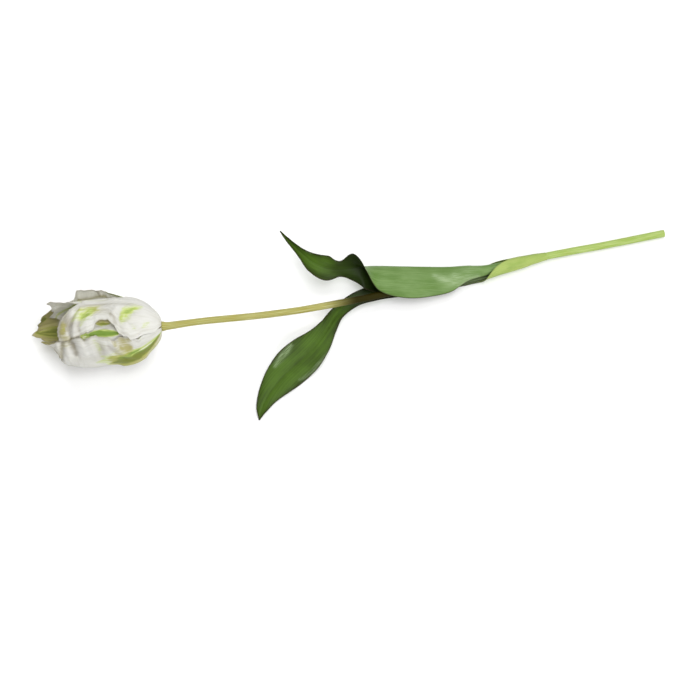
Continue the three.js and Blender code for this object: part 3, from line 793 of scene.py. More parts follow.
class Line:
    """Smooth curve through points, the same as the CAD source uses."""

    STEPS = 80

    def __init__(self, points):
        points = np.asarray(points, float)
        first = 2 * points[0] - points[1]
        last = 2 * points[-1] - points[-2]
        self.points = np.vstack([first, points, last])
        self.count = len(points) - 1
        self.steps = np.linspace(0, 1, self.STEPS * self.count + 1)
        walked = np.linalg.norm(np.diff(self.at(self.steps), axis=0), axis=1)
        lengths = np.concatenate([[0], np.cumsum(walked)])
        self.length = lengths[-1]
        self.shares = lengths / self.length

    def parts(self, t):
        """How far each t is into its span, then the four terms of that span's cubic."""
        t = np.clip(np.asarray(t, float), 0, 1) * self.count
        k = np.minimum(t.astype(int), self.count - 1)
        a, b, c, d = (self.points[k + i] for i in range(4))
        spans = ((a, b), (b, c), (c, d))
        ab, bc, cd = (np.linalg.norm(q - p, axis=-1, keepdims=True) ** 0.5 for p, q in spans)
        start = ((b - a) / ab - (c - a) / (ab + bc) + (c - b) / bc) * bc
        end = ((c - b) / bc - (d - b) / (bc + cd) + (d - c) / cd) * bc
        return (t - k)[..., None], b, start, 3 * (c - b) - 2 * start - end, 2 * (b - c) + start + end

    def at(self, t):
        w, p, q, r, s = self.parts(t)
        return p + w * (q + w * (r + w * s))

    def heading(self, t):
        w, _, q, r, s = self.parts(t)
        return unit(q + w * (2 * r + 3 * w * s))

    def t_at(self, share):
        """The curve's own parameter at a share of its length."""
        return np.interp(share, self.shares, self.steps)


def axes(line, t):
    """Points of a line and two directions square to it there: level, and the one square to both."""
    heading = line.heading(t)
    level = unit(np.cross([0, 0, 1], heading))
    return line.at(t), level, np.cross(heading, level)


def turns(around):
    """Angles of that many sides round a line."""
    return np.arange(around) * FULL_TURN / around


def crowded(number, crowding):
    """Places across a sheet from -1 to 1, closer together towards both edges."""
    v = np.linspace(-1, 1, number)[None]
    return (1 - crowding) * v + crowding * np.sin(v * math.pi / 2)


def waves(seed, x, y, coarse, fine, count=7):
    """Seeded smooth unevenness, about -1 to 1, with waves from coarse to fine millimetres long."""
    rng = np.random.default_rng(seed)
    total = 0
    for _ in range(count):
        length = rng.uniform(fine, coarse)
        heading = rng.uniform(0, FULL_TURN)
        phase = rng.uniform(0, FULL_TURN)
        total = total + np.sin(FULL_TURN * (x * math.cos(heading) + y * math.sin(heading)) / length + phase)
    return total / math.sqrt(count)


def teeth(seed, x, spacing):
    """Irregular pointed teeth along x, 0 at a tip and 1 at the bottom of a cut."""
    rng = np.random.default_rng(seed)
    count = int(np.max(x) / spacing) + SPARE_TEETH
    gaps = rng.uniform(*TOOTH_WIDTHS, count) * spacing
    tips = np.cumsum(gaps) - spacing
    cuts = tips[:-1] + (tips[1:] - tips[:-1]) * rng.uniform(*TOOTH_CUTS, count - 1)
    knots = np.concatenate([tips, cuts])
    tip_depths = rng.uniform(*TOOTH_TIP_DEPTHS, count)
    depths = np.concatenate([tip_depths, rng.uniform(*TOOTH_CUT_DEPTHS, count - 1)])
    order = np.argsort(knots)
    return np.interp(x, knots[order], depths[order])


def distance_to(line, x, y):
    """Distance from every (x, y) to a bent line of points, and how far along the line that is, 0 to 1.

    The distance is negative on the line's right-hand side.
    """
    best = np.full(np.broadcast(x, y).shape, np.inf)
    share = np.zeros(best.shape)
    walked = 0
    total = sum(math.dist(start, end) for start, end in zip(line, line[1:]))
    for (x0, y0), (x1, y1) in zip(line, line[1:]):
        length = math.dist((x0, y0), (x1, y1))
        t = np.clip(((x - x0) * (x1 - x0) + (y - y0) * (y1 - y0)) / length**2, 0, 1)
        distance = np.hypot(x - x0 - t * (x1 - x0), y - y0 - t * (y1 - y0))
        left = (x1 - x0) * (y - y0) > (y1 - y0) * (x - x0)
        nearer = distance < np.abs(best)
        best = np.where(nearer, np.where(left, distance, -distance), best)
        share = np.where(nearer, (walked + t * length) / total, share)
        walked += length
    return best, share


def strokes(lines, along, aside, taper=0.0, sharpness=2, hairs=0):
    """Strokes along lines of (along, aside) with (line, half width, strength), added up.

    Taper narrows both ends of a stroke, and a higher sharpness gives it a flatter top and a harder edge.
    Hairs is how many thin lighter or darker hairs run along the stroke.
    """
    rng = np.random.default_rng(len(lines))
    total = np.zeros(along.shape)
    for line, width, strength in lines:
        distance, share = distance_to(line, along, aside)
        narrowed = width * (1 - taper * (1 - np.sin(math.pi * share)))
        stroke = np.exp(-(np.abs(distance / narrowed) ** sharpness))
        for _ in range(hairs):
            shift, start, end, thin, depth = rng.uniform(HAIR_LOW, HAIR_HIGH)
            fade_in = smoothstep(share, start, start + HAIR_FADE_IN)
            ends = fade_in * (1 - smoothstep(share, end - HAIR_FADE_OUT, end))
            hair = np.exp(-(((distance - shift * narrowed) / (thin * width)) ** 2))
            stroke = stroke + depth * ends * hair
        total = total + strength * stroke
    return np.maximum(total, 0)


# Directions of the bloom: along its axis, across it towards +Y, and up.
HEADING = unit(BLOOM_HEADING)
ACROSS = unit(np.array([0, 1, 0]) - HEADING * HEADING[1])
RISE = np.cross(ACROSS, HEADING)


def bloom_point(distance, radius, angle, flattening=1.0):
    """Point in the part's frame from a place round the bloom axis."""
    distance, radius, angle, flattening = np.broadcast_arrays(distance, radius, angle, flattening)
    sideways = ACROSS * (radius * np.cos(angle))[..., None]
    upward = RISE * (radius * np.sin(angle) * flattening)[..., None]
    return BLOOM_BASE + HEADING * distance[..., None] + sideways + upward


def bloom_line(places, angle):
    """A line through places given by distance along the bloom axis and radius, at an angle round it."""
    return Line([tuple(bloom_point(distance, radius, angle)) for distance, radius in places])


# ---------- meshes ----------


def closed_sheet(grid, thickness):
    """Points, faces and side (1 on the face that across x along points to) of a closed thin sheet."""
    rows, columns = grid.shape[:2]
    along = np.gradient(grid, axis=0)
    across = np.gradient(grid, axis=1)
    offset = unit(np.cross(across, along)) * thickness[..., None] / 2
    points = np.concatenate([(grid + offset).reshape(-1, 3), (grid - offset).reshape(-1, 3)])
    count = rows * columns
    index = np.arange(count).reshape(rows, columns)
    corners = [index[:-1, :-1], index[:-1, 1:], index[1:, 1:], index[1:, :-1]]
    front = np.stack([c.ravel() for c in corners], axis=1)
    back = front[:, ::-1] + count
    loop = np.concatenate([index[0, :-1], index[:-1, -1], index[-1, :0:-1], index[:0:-1, 0]])
    after = np.roll(loop, -1)
    rim = np.stack([after, loop, loop + count, after + count], axis=1)
    side = np.repeat([1.0, 0.0], count)
    return points, np.concatenate([front, back, rim]), side


def closed_tube(line, t, radii, cap_rings):
    """A closed tube along a line: radii is (rings, around), with rings of points on both end faces.

    Returns points, faces, and each point's ring (below 0 on the first end face) and angle round the line.
    """
    rings, around = radii.shape
    centres, sides, rises = axes(line, t)
    turn = turns(around)
    spoke = sides[:, None] * np.cos(turn)[None, :, None] + rises[:, None] * np.sin(turn)[None, :, None]
    body = centres[:, None] + spoke * radii[..., None]
    shares = np.linspace(1, 0, cap_rings + 2)[1:-1]
    first = [centres[0] + spoke[0] * radii[0][:, None] * share for share in shares]
    last = [centres[-1] + spoke[-1] * radii[-1][:, None] * share for share in shares]
    rows = np.array([*first[::-1], *body, *last])
    count = len(rows)
    index = np.arange(count * around).reshape(count, around)
    turned = np.roll(index, -1, axis=1)
    quads = np.stack([index[:-1], turned[:-1], turned[1:], index[1:]], axis=-1).reshape(-1, 4)
    points = np.concatenate([rows.reshape(-1, 3), centres[:1], centres[-1:]])
    start = count * around
    faces = quads.tolist()
    faces += [[start, turned[0, k], index[0, k]] for k in range(around)]
    faces += [[start + 1, index[-1, k], turned[-1, k]] for k in range(around)]
    ring = np.concatenate([np.repeat(np.arange(count), around), [0, count - 1]]) - cap_rings
    return points, faces_out(points, faces), ring, np.concatenate([np.tile(turn, count), [0, 0]])


def faces_out(points, faces):
    """The faces, turned over if the closed mesh is inside out."""
    corners = points[np.array([face[:3] for face in faces])]
    a, b, c = np.moveaxis(corners, 1, 0)
    if np.einsum("ij,ij->i", a, np.cross(b, c)).sum() < 0:
        return [face[::-1] for face in faces]
    return faces


def on_both_sides(values):
    """Values of a sheet's middle surface, for the points of both its sides."""
    return np.tile(values.ravel(), 2)


def sheet_place(along, aside):
    return np.stack([on_both_sides(along), on_both_sides(aside)], axis=1)


def add_object(name, data):
    item = bpy.data.objects.new(name, data)
    bpy.context.scene.collection.objects.link(item)
    return item


def add_piece(name, points, faces, layers, place, material, node):
    """A smooth mesh piece with painted layers, in place of a CAD node."""
    mesh = bpy.data.meshes.new(name)
    mesh.from_pydata((points * MM).tolist(), [], [list(map(int, face)) for face in faces])
    for key, values in layers.items():
        mesh.attributes.new(key, "FLOAT", "POINT").data.foreach_set("value", np.asarray(values, np.float32))
    corners = np.zeros(len(mesh.loops), np.int32)
    mesh.loops.foreach_get("vertex_index", corners)
    sheet = mesh.uv_layers.new(name="Sheet")
    sheet.data.foreach_set("uv", place[corners].astype(np.float32).ravel())
    mesh.validate()
    mesh.shade_smooth()
    piece = add_object(name, mesh)
    mesh.materials.append(material)
    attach(piece, BODY)
    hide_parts(node)


# ---------- stem ----------


def stem_line():
    stations = [*STEM_STATIONS, *[(tuple(bloom_point(d, 0, 0)), r) for d, r in RECEPTACLE]]
    line = Line([at for at, _ in stations])
    radii = [(k / line.count, radius) for k, (_, radius) in enumerate(stations)]
    return line, radii


def stem_finish(settings):
    f = Finish("stem")
    along = f.layer("along")
    streaks = f.noise(f.place(0.03, 1.0), 1.6, detail=4.0)
    mottle = f.noise(f.place(0.12, 0.5), 0.5, detail=3.0)
    base = f.mix(along.between(*STEM_GREEN_START), settings.olive, settings.green)
    pale = f.mix(streaks.between(0.35, 0.75) * 0.35, base, settings.cut)
    deep = f.mix(mottle.between(0.45, 0.8) * 0.3, pale, settings.mottle)
    # Painted shade: the stretch that the leaves fold round is darkened to stand in for their shadow.
    painted_shade = along.between(*STEM_SHADE_START) * (1 - along.between(*STEM_SHADE_END))
    shaded = f.mix(painted_shade, deep, settings.dark)
    return f.surface(f.skin({
        "Base Color": f.mix(f.layer("cut"), shaded, settings.cut),
        "Roughness": 0.4 + streaks * 0.15,
        "Specular IOR Level": 0.04,
        "Normal": f.bump(streaks, 0.35, 0.0003),
    }))


class OBJECT_OT_tulip_stem(bpy.types.Operator):
    """Builds the stem with its cut face and receptacle"""

    bl_idname = "object.tulip_stem"
    bl_label = "Stem"

    def execute(self, context):
        settings = context.scene.tulip_stem
        line, radii = stem_line()
        t = line.t_at(np.linspace(0, 1, settings.rings))
        turn = turns(settings.around)[None]
        walked = np.linspace(0, line.length, settings.rings)[:, None]
        flutes = sum(height * np.cos(number * turn + turned) for height, number, turned in STEM_FLUTES)
        swell = STEM_SWELL * waves(STEM_SWELL_SEED, walked, STEM_SWELL_GAUGE * turn, *STEM_SWELL_WAVES)
        swell = swell * smoothstep(walked, *STEM_SWELL_START)
        splay = STEM_SPLAY * np.exp(-walked / STEM_SPLAY_REACH)
        radius = eased(radii, t, level=False)[:, None] + flutes + swell + splay
        points, faces, ring, angle = closed_tube(line, t, radius, STEM_CAP_RINGS)
        along = walked[np.clip(ring, 0, settings.rings - 1), 0]
        layers = {"along": 1 - along / line.length, "cut": (ring < 0).astype(float)}
        place = np.stack([along, angle * STEM_GAUGE], axis=1)
        add_piece("stem_stalk", points, faces, layers, place, stem_finish(settings), "stem")
        return {"FINISHED"}


# ---------- leaves ----------


def arc_offset(start, bend, width, share):
    """Offset from the midrib into a half that bends as an arc, across and up."""
    start = np.radians(start)
    turn = np.radians(bend)
    turn = np.where(np.abs(turn) < SMALL_BEND, SMALL_BEND, turn)
    radius = width / turn
    end = start + turn * share
    return radius * (np.sin(end) - np.sin(start)), radius * (np.cos(start) - np.cos(end))


def half_rows(stations, half):
    """Rows of (parameter of the midrib, start angle, bend, width) of one half of a leaf."""
    last = len(stations) - 1
    return [(k / last, *station[half]) for k, station in enumerate(stations)]


def leaf_grid(stations, rows, columns):
    """Middle surface of a leaf and its place in millimetres along and across.

    Then for each point its share of the half width, and the midrib's own parameter.
    """
    midrib = Line([at for at, _, _ in stations])
    near = half_rows(stations, 1)
    far = half_rows(stations, 2)
    t = midrib.t_at(np.linspace(0, 1, rows))
    v = crowded(columns, LEAF_CROWDING)
    share = np.abs(v)
    shape = []
    for column in (1, 2, 3):
        on_far, on_near = (eased(half, t[:, None], column, level=False) for half in (far, near))
        shape.append(np.where(v < 0, on_far, on_near))
    across, up = arc_offset(*shape, share)
    centre, side, rise = (row[:, None] for row in axes(midrib, t))
    grid = centre + side * across[..., None] + rise * up[..., None]
    along = np.broadcast_to(np.linspace(0, midrib.length, rows)[:, None], across.shape)
    width = shape[2]
    return grid, along, width * v, share, t[:, None]


def moved_along_normal(grid, amount):
    normal = unit(np.cross(np.gradient(grid, axis=1), np.gradient(grid, axis=0)))
    return grid + normal * amount[..., None]


def drawn_to_stem(grid, loose):
    """The grid, drawn to a snug ring round the stem where loose is 0."""
    line, _ = stem_line()
    samples = line.at(np.linspace(0, 1, BASE_SAMPLES))[::-1]
    x = grid[..., 0]
    centre = np.stack([x, *[np.interp(x, samples[:, 0], samples[:, k]) for k in (1, 2)]], -1)
    spoke = grid - centre
    reach = np.linalg.norm(spoke, axis=-1)
    snug = BASE_RADIUS + (reach - BASE_RADIUS) * loose
    return centre + spoke * (snug / reach)[..., None]


def leaf_finish(settings, name):
    f = Finish(name)
    upper = f.layer("upper")
    sheath = f.layer("sheath")
    rim = f.layer("rim")
    margin = f.layer("margin")
    veins = f.noise(f.place(0.01, 1.0), 1.1, detail=2.0)
    fine = f.noise(f.place(0.03, 1.0), 3.2, detail=3.0)
    cloud = f.noise(f.place(0.035, 0.09), 1.0, detail=3.0)
    depth = veins.between(0.38, 0.66) * 0.3 + cloud.between(0.4, 0.65) * 0.4 + margin * (0.3 + cloud * 0.8)
    top = f.mix(depth, settings.upper, settings.upper_dark)
    wax = cloud.between(0.35, 0.7) * 0.5 + veins.between(0.35, 0.65) * 0.3 + fine.between(0.4, 0.7) * 0.4
    under = f.mix(wax, settings.under, settings.under_pale)
    green = f.mix(upper, under, top)
    # Painted highlights and painted light, laid in the strokes of the shine tables.
    highlighted = f.mix(f.layer("shine") * (fine.between(0.42, 0.6) * 0.85 + 0.15), green, settings.shine)
    mottle = cloud.between(0.42, 0.6) * 0.4 + fine.between(0.45, 0.6) * 0.35
    young = f.mix(sheath, highlighted, f.mix(mottle, settings.sheath, settings.sheath_green))
    # Painted shade: the side facing the bloom is darkened inside the folds to stand in for their shadow.
    fold_shaded = f.mix(f.layer("deep") * upper * 0.85, young, settings.painted_shade)
    return f.surface(f.skin({
        "Base Color": f.mix(rim * (0.85 - sheath * 0.5), fold_shaded, settings.edge),
        "Roughness": 0.26 + upper * 0.02 + fine * 0.2,
        "Specular IOR Level": 0.08,
        "Normal": f.bump(veins * 0.6 + fine * 0.4, 0.3, 0.0004),
    }))


def leaf_layers(leaf, along, aside, share, t, side):
    """Painted layers of a leaf; side is 1 on the points of the sheet's front."""
    to_side = (1 - share) * np.abs(aside) / np.maximum(share, SMALL_SHARE)
    edge = np.minimum(to_side, (1 - t) * LEAF_TIP_LENGTH)
    # Painted shade inside the folds, on the stretch given in the leaf's table.
    start, end = leaf["painted_shade"]
    fade_out = smoothstep(along, *[end + fade for fade in SHADE_FADE_OUT])
    painted_shade = smoothstep(along, start - SHADE_FADE_IN, start) * (1 - fade_out)
    opened = smoothstep(along, *[leaf["sheath_end"] * fade for fade in SHEATH_FADE])
    return {
        "upper": side if leaf["upper_side"] > 0 else 1 - side,
        "deep": on_both_sides(painted_shade),
        "sheath": on_both_sides(1 - opened),
        "rim": on_both_sides(np.exp(-((edge / LEAF_RIM) ** 2))),
        "margin": on_both_sides(np.exp(-edge / LEAF_MARGIN)),
        "shine": on_both_sides(strokes(leaf["shine"], along, aside, **SHINE_STYLE)),
    }


def add_leaf(node, leaf, settings):
    grid, along, aside, share, t = leaf_grid(leaf["stations"], settings.rows, settings.columns)
    sheath_end = leaf["sheath_end"]
    free = smoothstep(along, sheath_end, sheath_end + LEAF_FREE)
    margin = smoothstep(share, *LEAF_ROLL_START)
    roll = LEAF_ROLL * waves(leaf["seed"], along, 0 * along, *LEAF_ROLL_WAVES) * margin * free
    vein = VEIN_HEIGHT * np.cos(FULL_TURN * aside / VEIN_SPACING) * free
    groove = -GROOVE_DEPTH * np.exp(-((aside / GROOVE_WIDTH) ** 2)) * free
    grid = moved_along_normal(grid, roll + vein + groove * leaf["upper_side"])
    thickness = settings.thickness / MM * (1 - LEAF_THINNING * share**2)
    if leaf["base_on_stem"]:
        loose = smoothstep(along, 0, BASE_LENGTH)
        grid = drawn_to_stem(grid, loose)
        thickness = thickness * (BASE_THICKNESS + (1 - BASE_THICKNESS) * loose)
    points, faces, side = closed_sheet(grid, thickness)
    layers = leaf_layers(leaf, along, aside, share, t, side)
    name = f"{node}_blade"
    material = leaf_finish(settings, name)
    add_piece(name, points, faces, layers, sheet_place(along, aside), material, node)


class OBJECT_OT_tulip_leaves(bpy.types.Operator):
    """Builds the two leaves"""

    bl_idname = "object.tulip_leaves"
    bl_label = "Leaves"

    def execute(self, context):
        for node, leaf in LEAVES.items():
            add_leaf(node, leaf, context.scene.tulip_leaf)
        return {"FINISHED"}


# ---------- petals ----------


def petal_lines(lines, length):
    """Strokes given by (share, angle) round the bloom, in millimetres on the sheet."""
    placed = []
    for line, width, strength in lines:
        spots = [(share * length, math.radians(angle) * BLOOM_GAUGE) for share, angle in line]
        placed.append((spots, width, strength))
    return placed


def folded(folds, along, aside):
    """Outward height of the folds: ridges above 0 and valleys below."""
    ridges = [fold for fold in folds if fold[2] > 0]
    valleys = [(line, width, -depth) for line, width, depth in folds if depth < 0]
    return strokes(ridges, along, aside, **FOLD_STYLE) - strokes(valleys, along, aside, **FOLD_STYLE)


def half_angle(petal, v, share):
    """Degrees from the middle of a petal to its side edge, on the side of v."""
    return np.where(v < 0, eased(petal["far"], share), eased(petal["near"], share))


def petal_outline(petal, length, fringe, u, v):
    """Where a petal ends and how wide it is. Teeth shorten it along the tip and narrow it along the sides.

    Returns the tip's share of the profile, the degrees to each side edge, and the millimetres across it
    before its teeth are cut.
    """
    tip = eased(petal["tips"], v)
    across = np.radians(half_angle(petal, v, u * tip) * v) * BLOOM_GAUGE
    tip_teeth = teeth(petal["seed"], across[-1:] + TIP_TOOTH_SHIFT, TIP_TOOTH_SPACING)
    tip = tip + fringe * (TOOTH_MIDDLE - tip_teeth) / length
    share = u * tip
    side_teeth = teeth(petal["seed"] + SIDE_TOOTH_SEED, share * length, SIDE_TOOTH_SPACING)
    cut = (side_teeth - TOOTH_MIDDLE) * smoothstep(share, *SIDE_TOOTH_START)
    cut = cut * smoothstep(np.abs(v), *SIDE_TOOTH_REACH)
    return tip, half_angle(petal, v, share) - np.degrees(fringe * cut / BLOOM_GAUGE), across


def petal_relief(petal, settings, u, v, share, along, across, around):
    """Each rise of a petal's surface from its plain profile in turn, in millimetres outwards."""

    def uneven(kind, x, y, **more):
        added, longest, shortest = kind
        return waves(petal["seed"] + added, x, y, longest, shortest, **more)

    yield petal["lap"] * v * smoothstep(u, 0, LAP_START)
    for side, rows in petal["flares"]:
        yield eased(rows, share) * np.maximum(0, side * v) ** 3
    ruffle = settings.ruffle / MM
    grown = smoothstep(share, *RELIEF_START)
    wave = uneven(SIDE_WAVES, along, around * SIDE_STRETCH)
    near, far = (lift + swing * wave for lift, swing in (NEAR_RUFFLE, FAR_RUFFLE))
    yield ruffle * np.where(v > 0, near, far) * smoothstep(np.abs(v), *SIDE_ZONE) * grown
    wave = uneven(TIP_WAVES, across, along * TIP_STRETCH)
    yield TIP_RUFFLE * ruffle * wave * smoothstep(u, *TIP_ZONE)
    yield -settings.roll / MM * smoothstep(u, *ROLL_ZONE) ** 2
    ribs = uneven(RIB_WAVES, RIB_STRETCH * along, v * RIB_GAUGE, count=RIB_COUNT)
    yield settings.ribs / MM * ribs * grown
    yield SWELL_HEIGHT * uneven(SWELL_WAVES, along, around) * grown


def edge_gap(petal, length, tip, u, v, share):
    """Millimetres from each point of a petal to its nearest free edge."""
    far = eased(petal["far"], share)
    near = eased(petal["near"], share)
    far_gap = np.where(v < 0, (1 + v) * far, far + v * near)
    near_gap = np.where(v < 0, near - v * far, (1 - v) * near)
    tip_gap = (1 - u) * tip * length
    return np.minimum(np.radians(np.minimum(far_gap, near_gap)) * BLOOM_GAUGE, tip_gap)


def add_petal(node, petal, settings, material):
    profile = Line([(distance, radius, 0) for distance, radius in petal["profile"]])
    length = profile.length
    u = np.linspace(0, 1, settings.rows)[:, None]
    v = crowded(settings.columns, PETAL_CROWDING)
    tip, half, across = petal_outline(petal, length, settings.fringe / MM, u, v)
    share = u * tip
    along = share * length
    angle = np.radians(petal["middle"] + half * v)
    around = angle * BLOOM_GAUGE
    station = profile.at(profile.t_at(share))
    radius = station[..., 1]
    for rise in petal_relief(petal, settings, u, v, share, along, across, around):
        radius = radius + rise
    radius = radius + folded(petal_lines(petal["folds"], length), along, around)
    wide = smoothstep(station[..., 1], ROUND_UP_TO_RADIUS, FLAT_FROM_RADIUS)
    grid = bloom_point(station[..., 0], radius, angle, 1 - (1 - BLOOM_FLATTENING) * wide)
    gap = edge_gap(petal, length, tip, u, v, share)
    body = EDGE_THICKNESS + (1 - EDGE_THICKNESS) * smoothstep(gap, 0, EDGE_WIDTH)
    points, faces, _ = closed_sheet(grid, settings.thickness / MM * body)
    layers = {}
    for key, style in STROKE_STYLES.items():
        layers[key] = on_both_sides(strokes(petal_lines(petal[key], length), along, around, **style))
    layers["rim"] = on_both_sides(np.exp(-gap / PETAL_RIM) * smoothstep(share, *PETAL_RIM_START))
    layers["lane"] = on_both_sides(gap)
    place = sheet_place(along, around)
    add_piece(f"{node}_sheet", points, faces, layers, place, material, node)


def petal_finish(settings):
    f = Finish("petal")
    green = f.layer("green")
    tan = f.layer("tan")
    shade = f.layer("shade")
    rim = f.layer("rim")
    # Fibres run along the edges of the petal, and ribs along its length.
    lane = f.add("ShaderNodeCombineXYZ", {}, {"X": f.layer("lane")})
    spot = f.add("ShaderNodeVectorMath", {"operation": "ADD"}, {0: f.place(0.06, 0.06), 1: lane})
    fibres = f.noise(spot, 0.42, detail=4.0, roughness=0.62)
    hairs = f.noise(spot, 1.7, detail=3.0, roughness=0.6)
    streaks = f.noise(f.place(0.09, 1.0), 0.7, detail=5.0, roughness=0.62)
    cloud = f.noise(f.place(0.04, 0.08), 1.0, detail=2.0)
    bruise = cloud.between(0.4, 0.7) * 0.35 + fibres.between(0.44, 0.68) * 0.4
    bruise = bruise + streaks.between(0.48, 0.7) * 0.25
    body = f.mix(bruise, settings.white, settings.blush)
    # Painted shade along the valleys of the folds.
    crease_shaded = f.mix((shade * (0.4 + fibres * 1.1)).between(0.05, 1.05), body, settings.shade)
    # Olive tan, partly the petals' own colour and partly painted shade in the throat.
    tan_and_shade_mask = tan * (0.5 + fibres * 0.6 + streaks.between(0.3, 0.7) * 0.35)
    tan_and_shade = f.mix(tan_and_shade_mask.between(0.08, 1.05), crease_shaded, settings.tan)
    feather = green * (fibres * 0.5 + hairs * 0.6 + 0.45) + green.between(0, 0.4) * (streaks - 0.5) * 1.3
    ripe = tan.between(0.15, 0.6)
    bright = f.mix(ripe, settings.flame, settings.flame_ripe)
    deep = f.mix(ripe, settings.flame_heart, settings.olive)
    tinted = f.mix(feather.between(0.06, 0.9), tan_and_shade, bright)
    hearted = f.mix(feather.between(0.6, 1.6), tinted, deep)
    sheet = f.skin({
        "Base Color": f.mix(rim * (0.3 + fibres * 0.7), hearted, settings.edge),
        "Roughness": 0.46 + hairs * 0.15,
        "Specular IOR Level": 0.3,
        "Sheen Weight": 0.1,
        "Normal": f.bump(hairs * 0.2 + streaks * 0.8, 0.25, 0.0003),
    })
    # Light shines through the white, and less through the flames and the tan.
    through = 0.4 - (green + tan).between(0.1, 1.0) * 0.28
    glow = f.add("ShaderNodeBsdfTranslucent", {}, {"Color": settings.glow})
    return f.surface(f.add("ShaderNodeMixShader", {}, {0: through, 1: sheet, 2: glow}))


class OBJECT_OT_tulip_petals(bpy.types.Operator):
    """Builds the six petals"""

    bl_idname = "object.tulip_petals"
    bl_label = "Petals"

    def execute(self, context):
        settings = context.scene.tulip_bloom
        material = petal_finish(settings)
        for node, petal in PETALS.items():
            add_petal(node, petal, settings, material)
        return {"FINISHED"}


# ---------- pistil and stamens ----------


def pistil_finish(settings):
    f = Finish("pistil")
    grain = f.noise(f.place(0.4, 1.0), 1.5, detail=4.0)
    head = f.layer("along").between(0.78, 0.9)
    body = f.mix(grain.between(0.35, 0.7), settings.pistil, settings.pistil_streak)
    return f.surface(f.skin({
        "Base Color": f.mix(head * 0.8, body, settings.stigma),
        "Roughness": 0.4 + head * 0.3,
        "Normal": f.bump(grain, 0.4, 0.0003),
    }))


def stamen_finish(settings):
    f = Finish("stamen")
    grain = f.noise(f.place(1.0, 1.0), 2.4, detail=4.0)
    head = f.layer("along").between(0.46, 0.54)
    stalk = f.mix(grain, settings.filament, settings.filament_streak)
    dusty = f.mix(grain.between(0.5, 0.75), settings.anther, settings.pollen)
    return f.surface(f.skin({
        "Base Color": f.mix(head, stalk, dusty),
        "Roughness": 0.5 + head * 0.35,
        "Normal": f.bump(grain, 0.6, 0.0003),
    }))


def add_stalk(name, node, line, outline, lobes, mesh_size, material, slot):
    """A closed stalk along a line; outline is (share, radius) and lobes(t, angle) scales it."""
    rings, around = mesh_size
    t = np.linspace(0, 1, rings)
    radius = eased(outline, t)[:, None] * lobes(t[:, None], turns(around)[None])
    points, faces, ring, angle = closed_tube(line, t, radius, STALK_CAP_RINGS)
    along = t[np.clip(ring, 0, rings - 1)]
    place = np.stack([along * line.length, angle * STALK_GAUGE], axis=1)
    add_piece(name, points, faces, {"along": along}, place, material, node)


def stigma_lobes(t, turn):
    lobed = np.cos(STIGMA_LOBES * turn)
    return 1 + PISTIL_GROOVE * lobed + STIGMA_LOBE * smoothstep(t, *STIGMA_START) * lobed


def anther_lobes(t, turn):
    return 1 - ANTHER_GROOVE * smoothstep(t, *ANTHER_START) * np.abs(np.cos(turn)) ** ANTHER_SHARPNESS


class OBJECT_OT_tulip_pistil(bpy.types.Operator):
    """Builds the pistil with its three-lobed stigma"""

    bl_idname = "object.tulip_pistil"
    bl_label = "Pistil"

    def execute(self, context):
        line = bloom_line(PISTIL_PLACES, 0)
        finish = pistil_finish(context.scene.tulip_bloom)
        shape = (PISTIL_OUTLINE, stigma_lobes, PISTIL_MESH)
        add_stalk("pistil_column", "pistil", line, *shape, finish, "pistil")
        return {"FINISHED"}


class OBJECT_OT_tulip_stamens(bpy.types.Operator):
    """Builds the six stamens"""

    bl_idname = "object.tulip_stamens"
    bl_label = "Stamens"

    def execute(self, context):
        finish = stamen_finish(context.scene.tulip_bloom)
        shape = (STAMEN_OUTLINE, anther_lobes, STAMEN_MESH)
        for k in range(STAMEN_COUNT):
            node = f"stamen_{k + 1}"
            line = bloom_line(STAMEN_PLACES, k * FULL_TURN / STAMEN_COUNT)
            add_stalk(f"{node}_anther", node, line, *shape, finish, "stamen")
        return {"FINISHED"}


# ---------- stage ----------


def add_floor(settings):
    mesh = bpy.data.meshes.new("floor")
    corners = [(x * FLOOR_HALF, y * FLOOR_HALF, 0) for x, y in ((-1, -1), (1, -1), (1, 1), (-1, 1))]
    mesh.from_pydata(corners, [], [(0, 1, 2, 3)])
    floor = add_object("floor", mesh)
    f = Finish("floor")
    grain = f.noise(f.add("ShaderNodeTexCoord", output="Object"), 30.0)
    mesh.materials.append(f.surface(f.skin({
        "Base Color": f.mix(grain * 0.04, settings.floor, settings.grain),
        "Roughness": 0.9,
        "Specular IOR Level": 0.1,
        "Emission Color": (1, 1, 1, 1),
        "Emission Strength": settings.glow,
    })))


def aim(item, at, heading):
    item.location = at
    item.rotation_euler = heading.to_track_quat("-Z", "Y").to_euler()


def add_light(name, at, size, power):
    data = bpy.data.lights.new(name, "AREA")
    data.shape = "DISK"
    data.size = size
    data.energy = power
    aim(add_object(name, data), Vector(at), Vector(LIGHTS_AIM) - Vector(at))


def add_surroundings(strength):
    world = bpy.data.worlds.new("surroundings")
    world.use_nodes = True
    sky = world.node_tree.nodes["Background"]
    sky.inputs["Color"].default_value = (1, 1, 1, 1)
    sky.inputs["Strength"].default_value = strength
    bpy.context.scene.world = world


def add_camera():
    data = bpy.data.cameras.new("camera")
    data.lens = CAMERA_LENS
    data.sensor_width = CAMERA_SENSOR
    data.clip_start, data.clip_end = CAMERA_CLIP
    camera = add_object("camera", data)
    a = math.radians(CAMERA_AZIMUTH)
    e = math.radians(CAMERA_ELEVATION)
    back = Vector((math.sin(a) * math.cos(e), -math.cos(a) * math.cos(e), math.sin(e)))
    aim(camera, Vector(CAMERA_TARGET) + back * CAMERA_DISTANCE, -back)
    bpy.context.scene.camera = camera


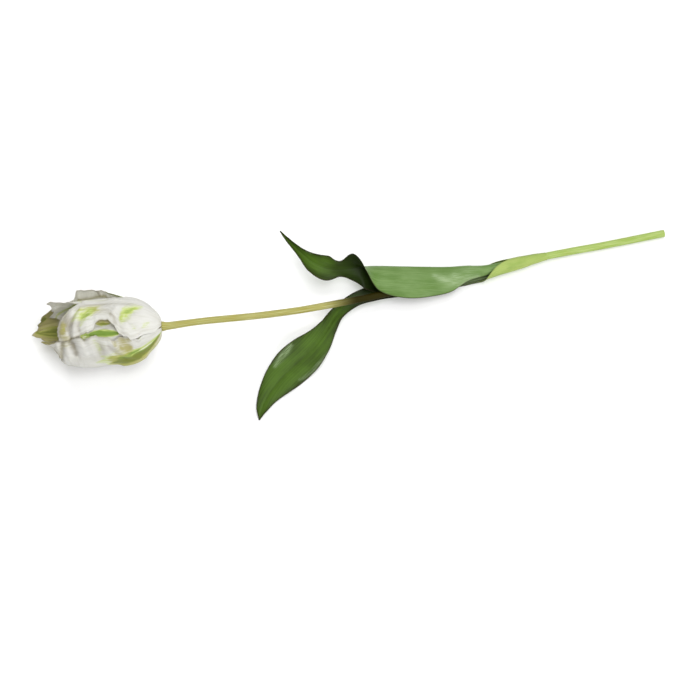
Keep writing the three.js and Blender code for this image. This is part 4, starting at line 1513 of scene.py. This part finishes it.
class OBJECT_OT_tulip_stage(bpy.types.Operator):
    """Builds the floor, the lights and the camera"""

    bl_idname = "object.tulip_stage"
    bl_label = "Stage"

    def execute(self, context):
        settings = context.scene.tulip_stage
        add_floor(settings)
        for name, (at, size) in LIGHTS.items():
            add_light(f"{name}_light", at, size, getattr(settings, name))
        add_surroundings(settings.sky)
        context.scene.view_settings.view_transform = "Standard"
        add_camera()
        return {"FINISHED"}


# ---------- panel and registration ----------


class VIEW3D_PT_tulip(bpy.types.Panel):
    """Lists the pieces and their settings"""

    bl_label = "Parrot Tulip"
    bl_idname = "VIEW3D_PT_tulip"
    bl_space_type = "VIEW_3D"
    bl_region_type = "UI"
    bl_category = "Tulip"

    def draw(self, context):
        for group, (_, operators) in PANEL_ROWS.items():
            box = self.layout.box()
            settings = getattr(context.scene, group)
            for key in settings.__annotations__:
                box.prop(settings, key)
            for operator in operators:
                box.operator(operator.bl_idname)


# Each group of settings on the scene, and the operators that use it.
PANEL_ROWS = {
    "tulip_bloom": (
        TulipBloomSettings, [OBJECT_OT_tulip_petals, OBJECT_OT_tulip_pistil, OBJECT_OT_tulip_stamens],
    ),
    "tulip_leaf": (TulipLeafSettings, [OBJECT_OT_tulip_leaves]),
    "tulip_stem": (TulipStemSettings, [OBJECT_OT_tulip_stem]),
    "tulip_stage": (TulipStageSettings, [OBJECT_OT_tulip_stage]),
}
KINDS = [kind for group, operators in PANEL_ROWS.values() for kind in (group, *operators)]
KINDS.append(VIEW3D_PT_tulip)


def register():
    for kind in KINDS:
        bpy.utils.register_class(kind)
    for name, (group, _) in PANEL_ROWS.items():
        setattr(bpy.types.Scene, name, PointerProperty(type=group))


def unregister():
    for name in PANEL_ROWS:
        delattr(bpy.types.Scene, name)
    for kind in reversed(KINDS):
        bpy.utils.unregister_class(kind)


def main():
    register()
    bpy.ops.object.tulip_stage()
    bpy.ops.object.tulip_stem()
    bpy.ops.object.tulip_leaves()
    bpy.ops.object.tulip_petals()
    bpy.ops.object.tulip_pistil()
    bpy.ops.object.tulip_stamens()


if __name__ == "__main__":
    main()
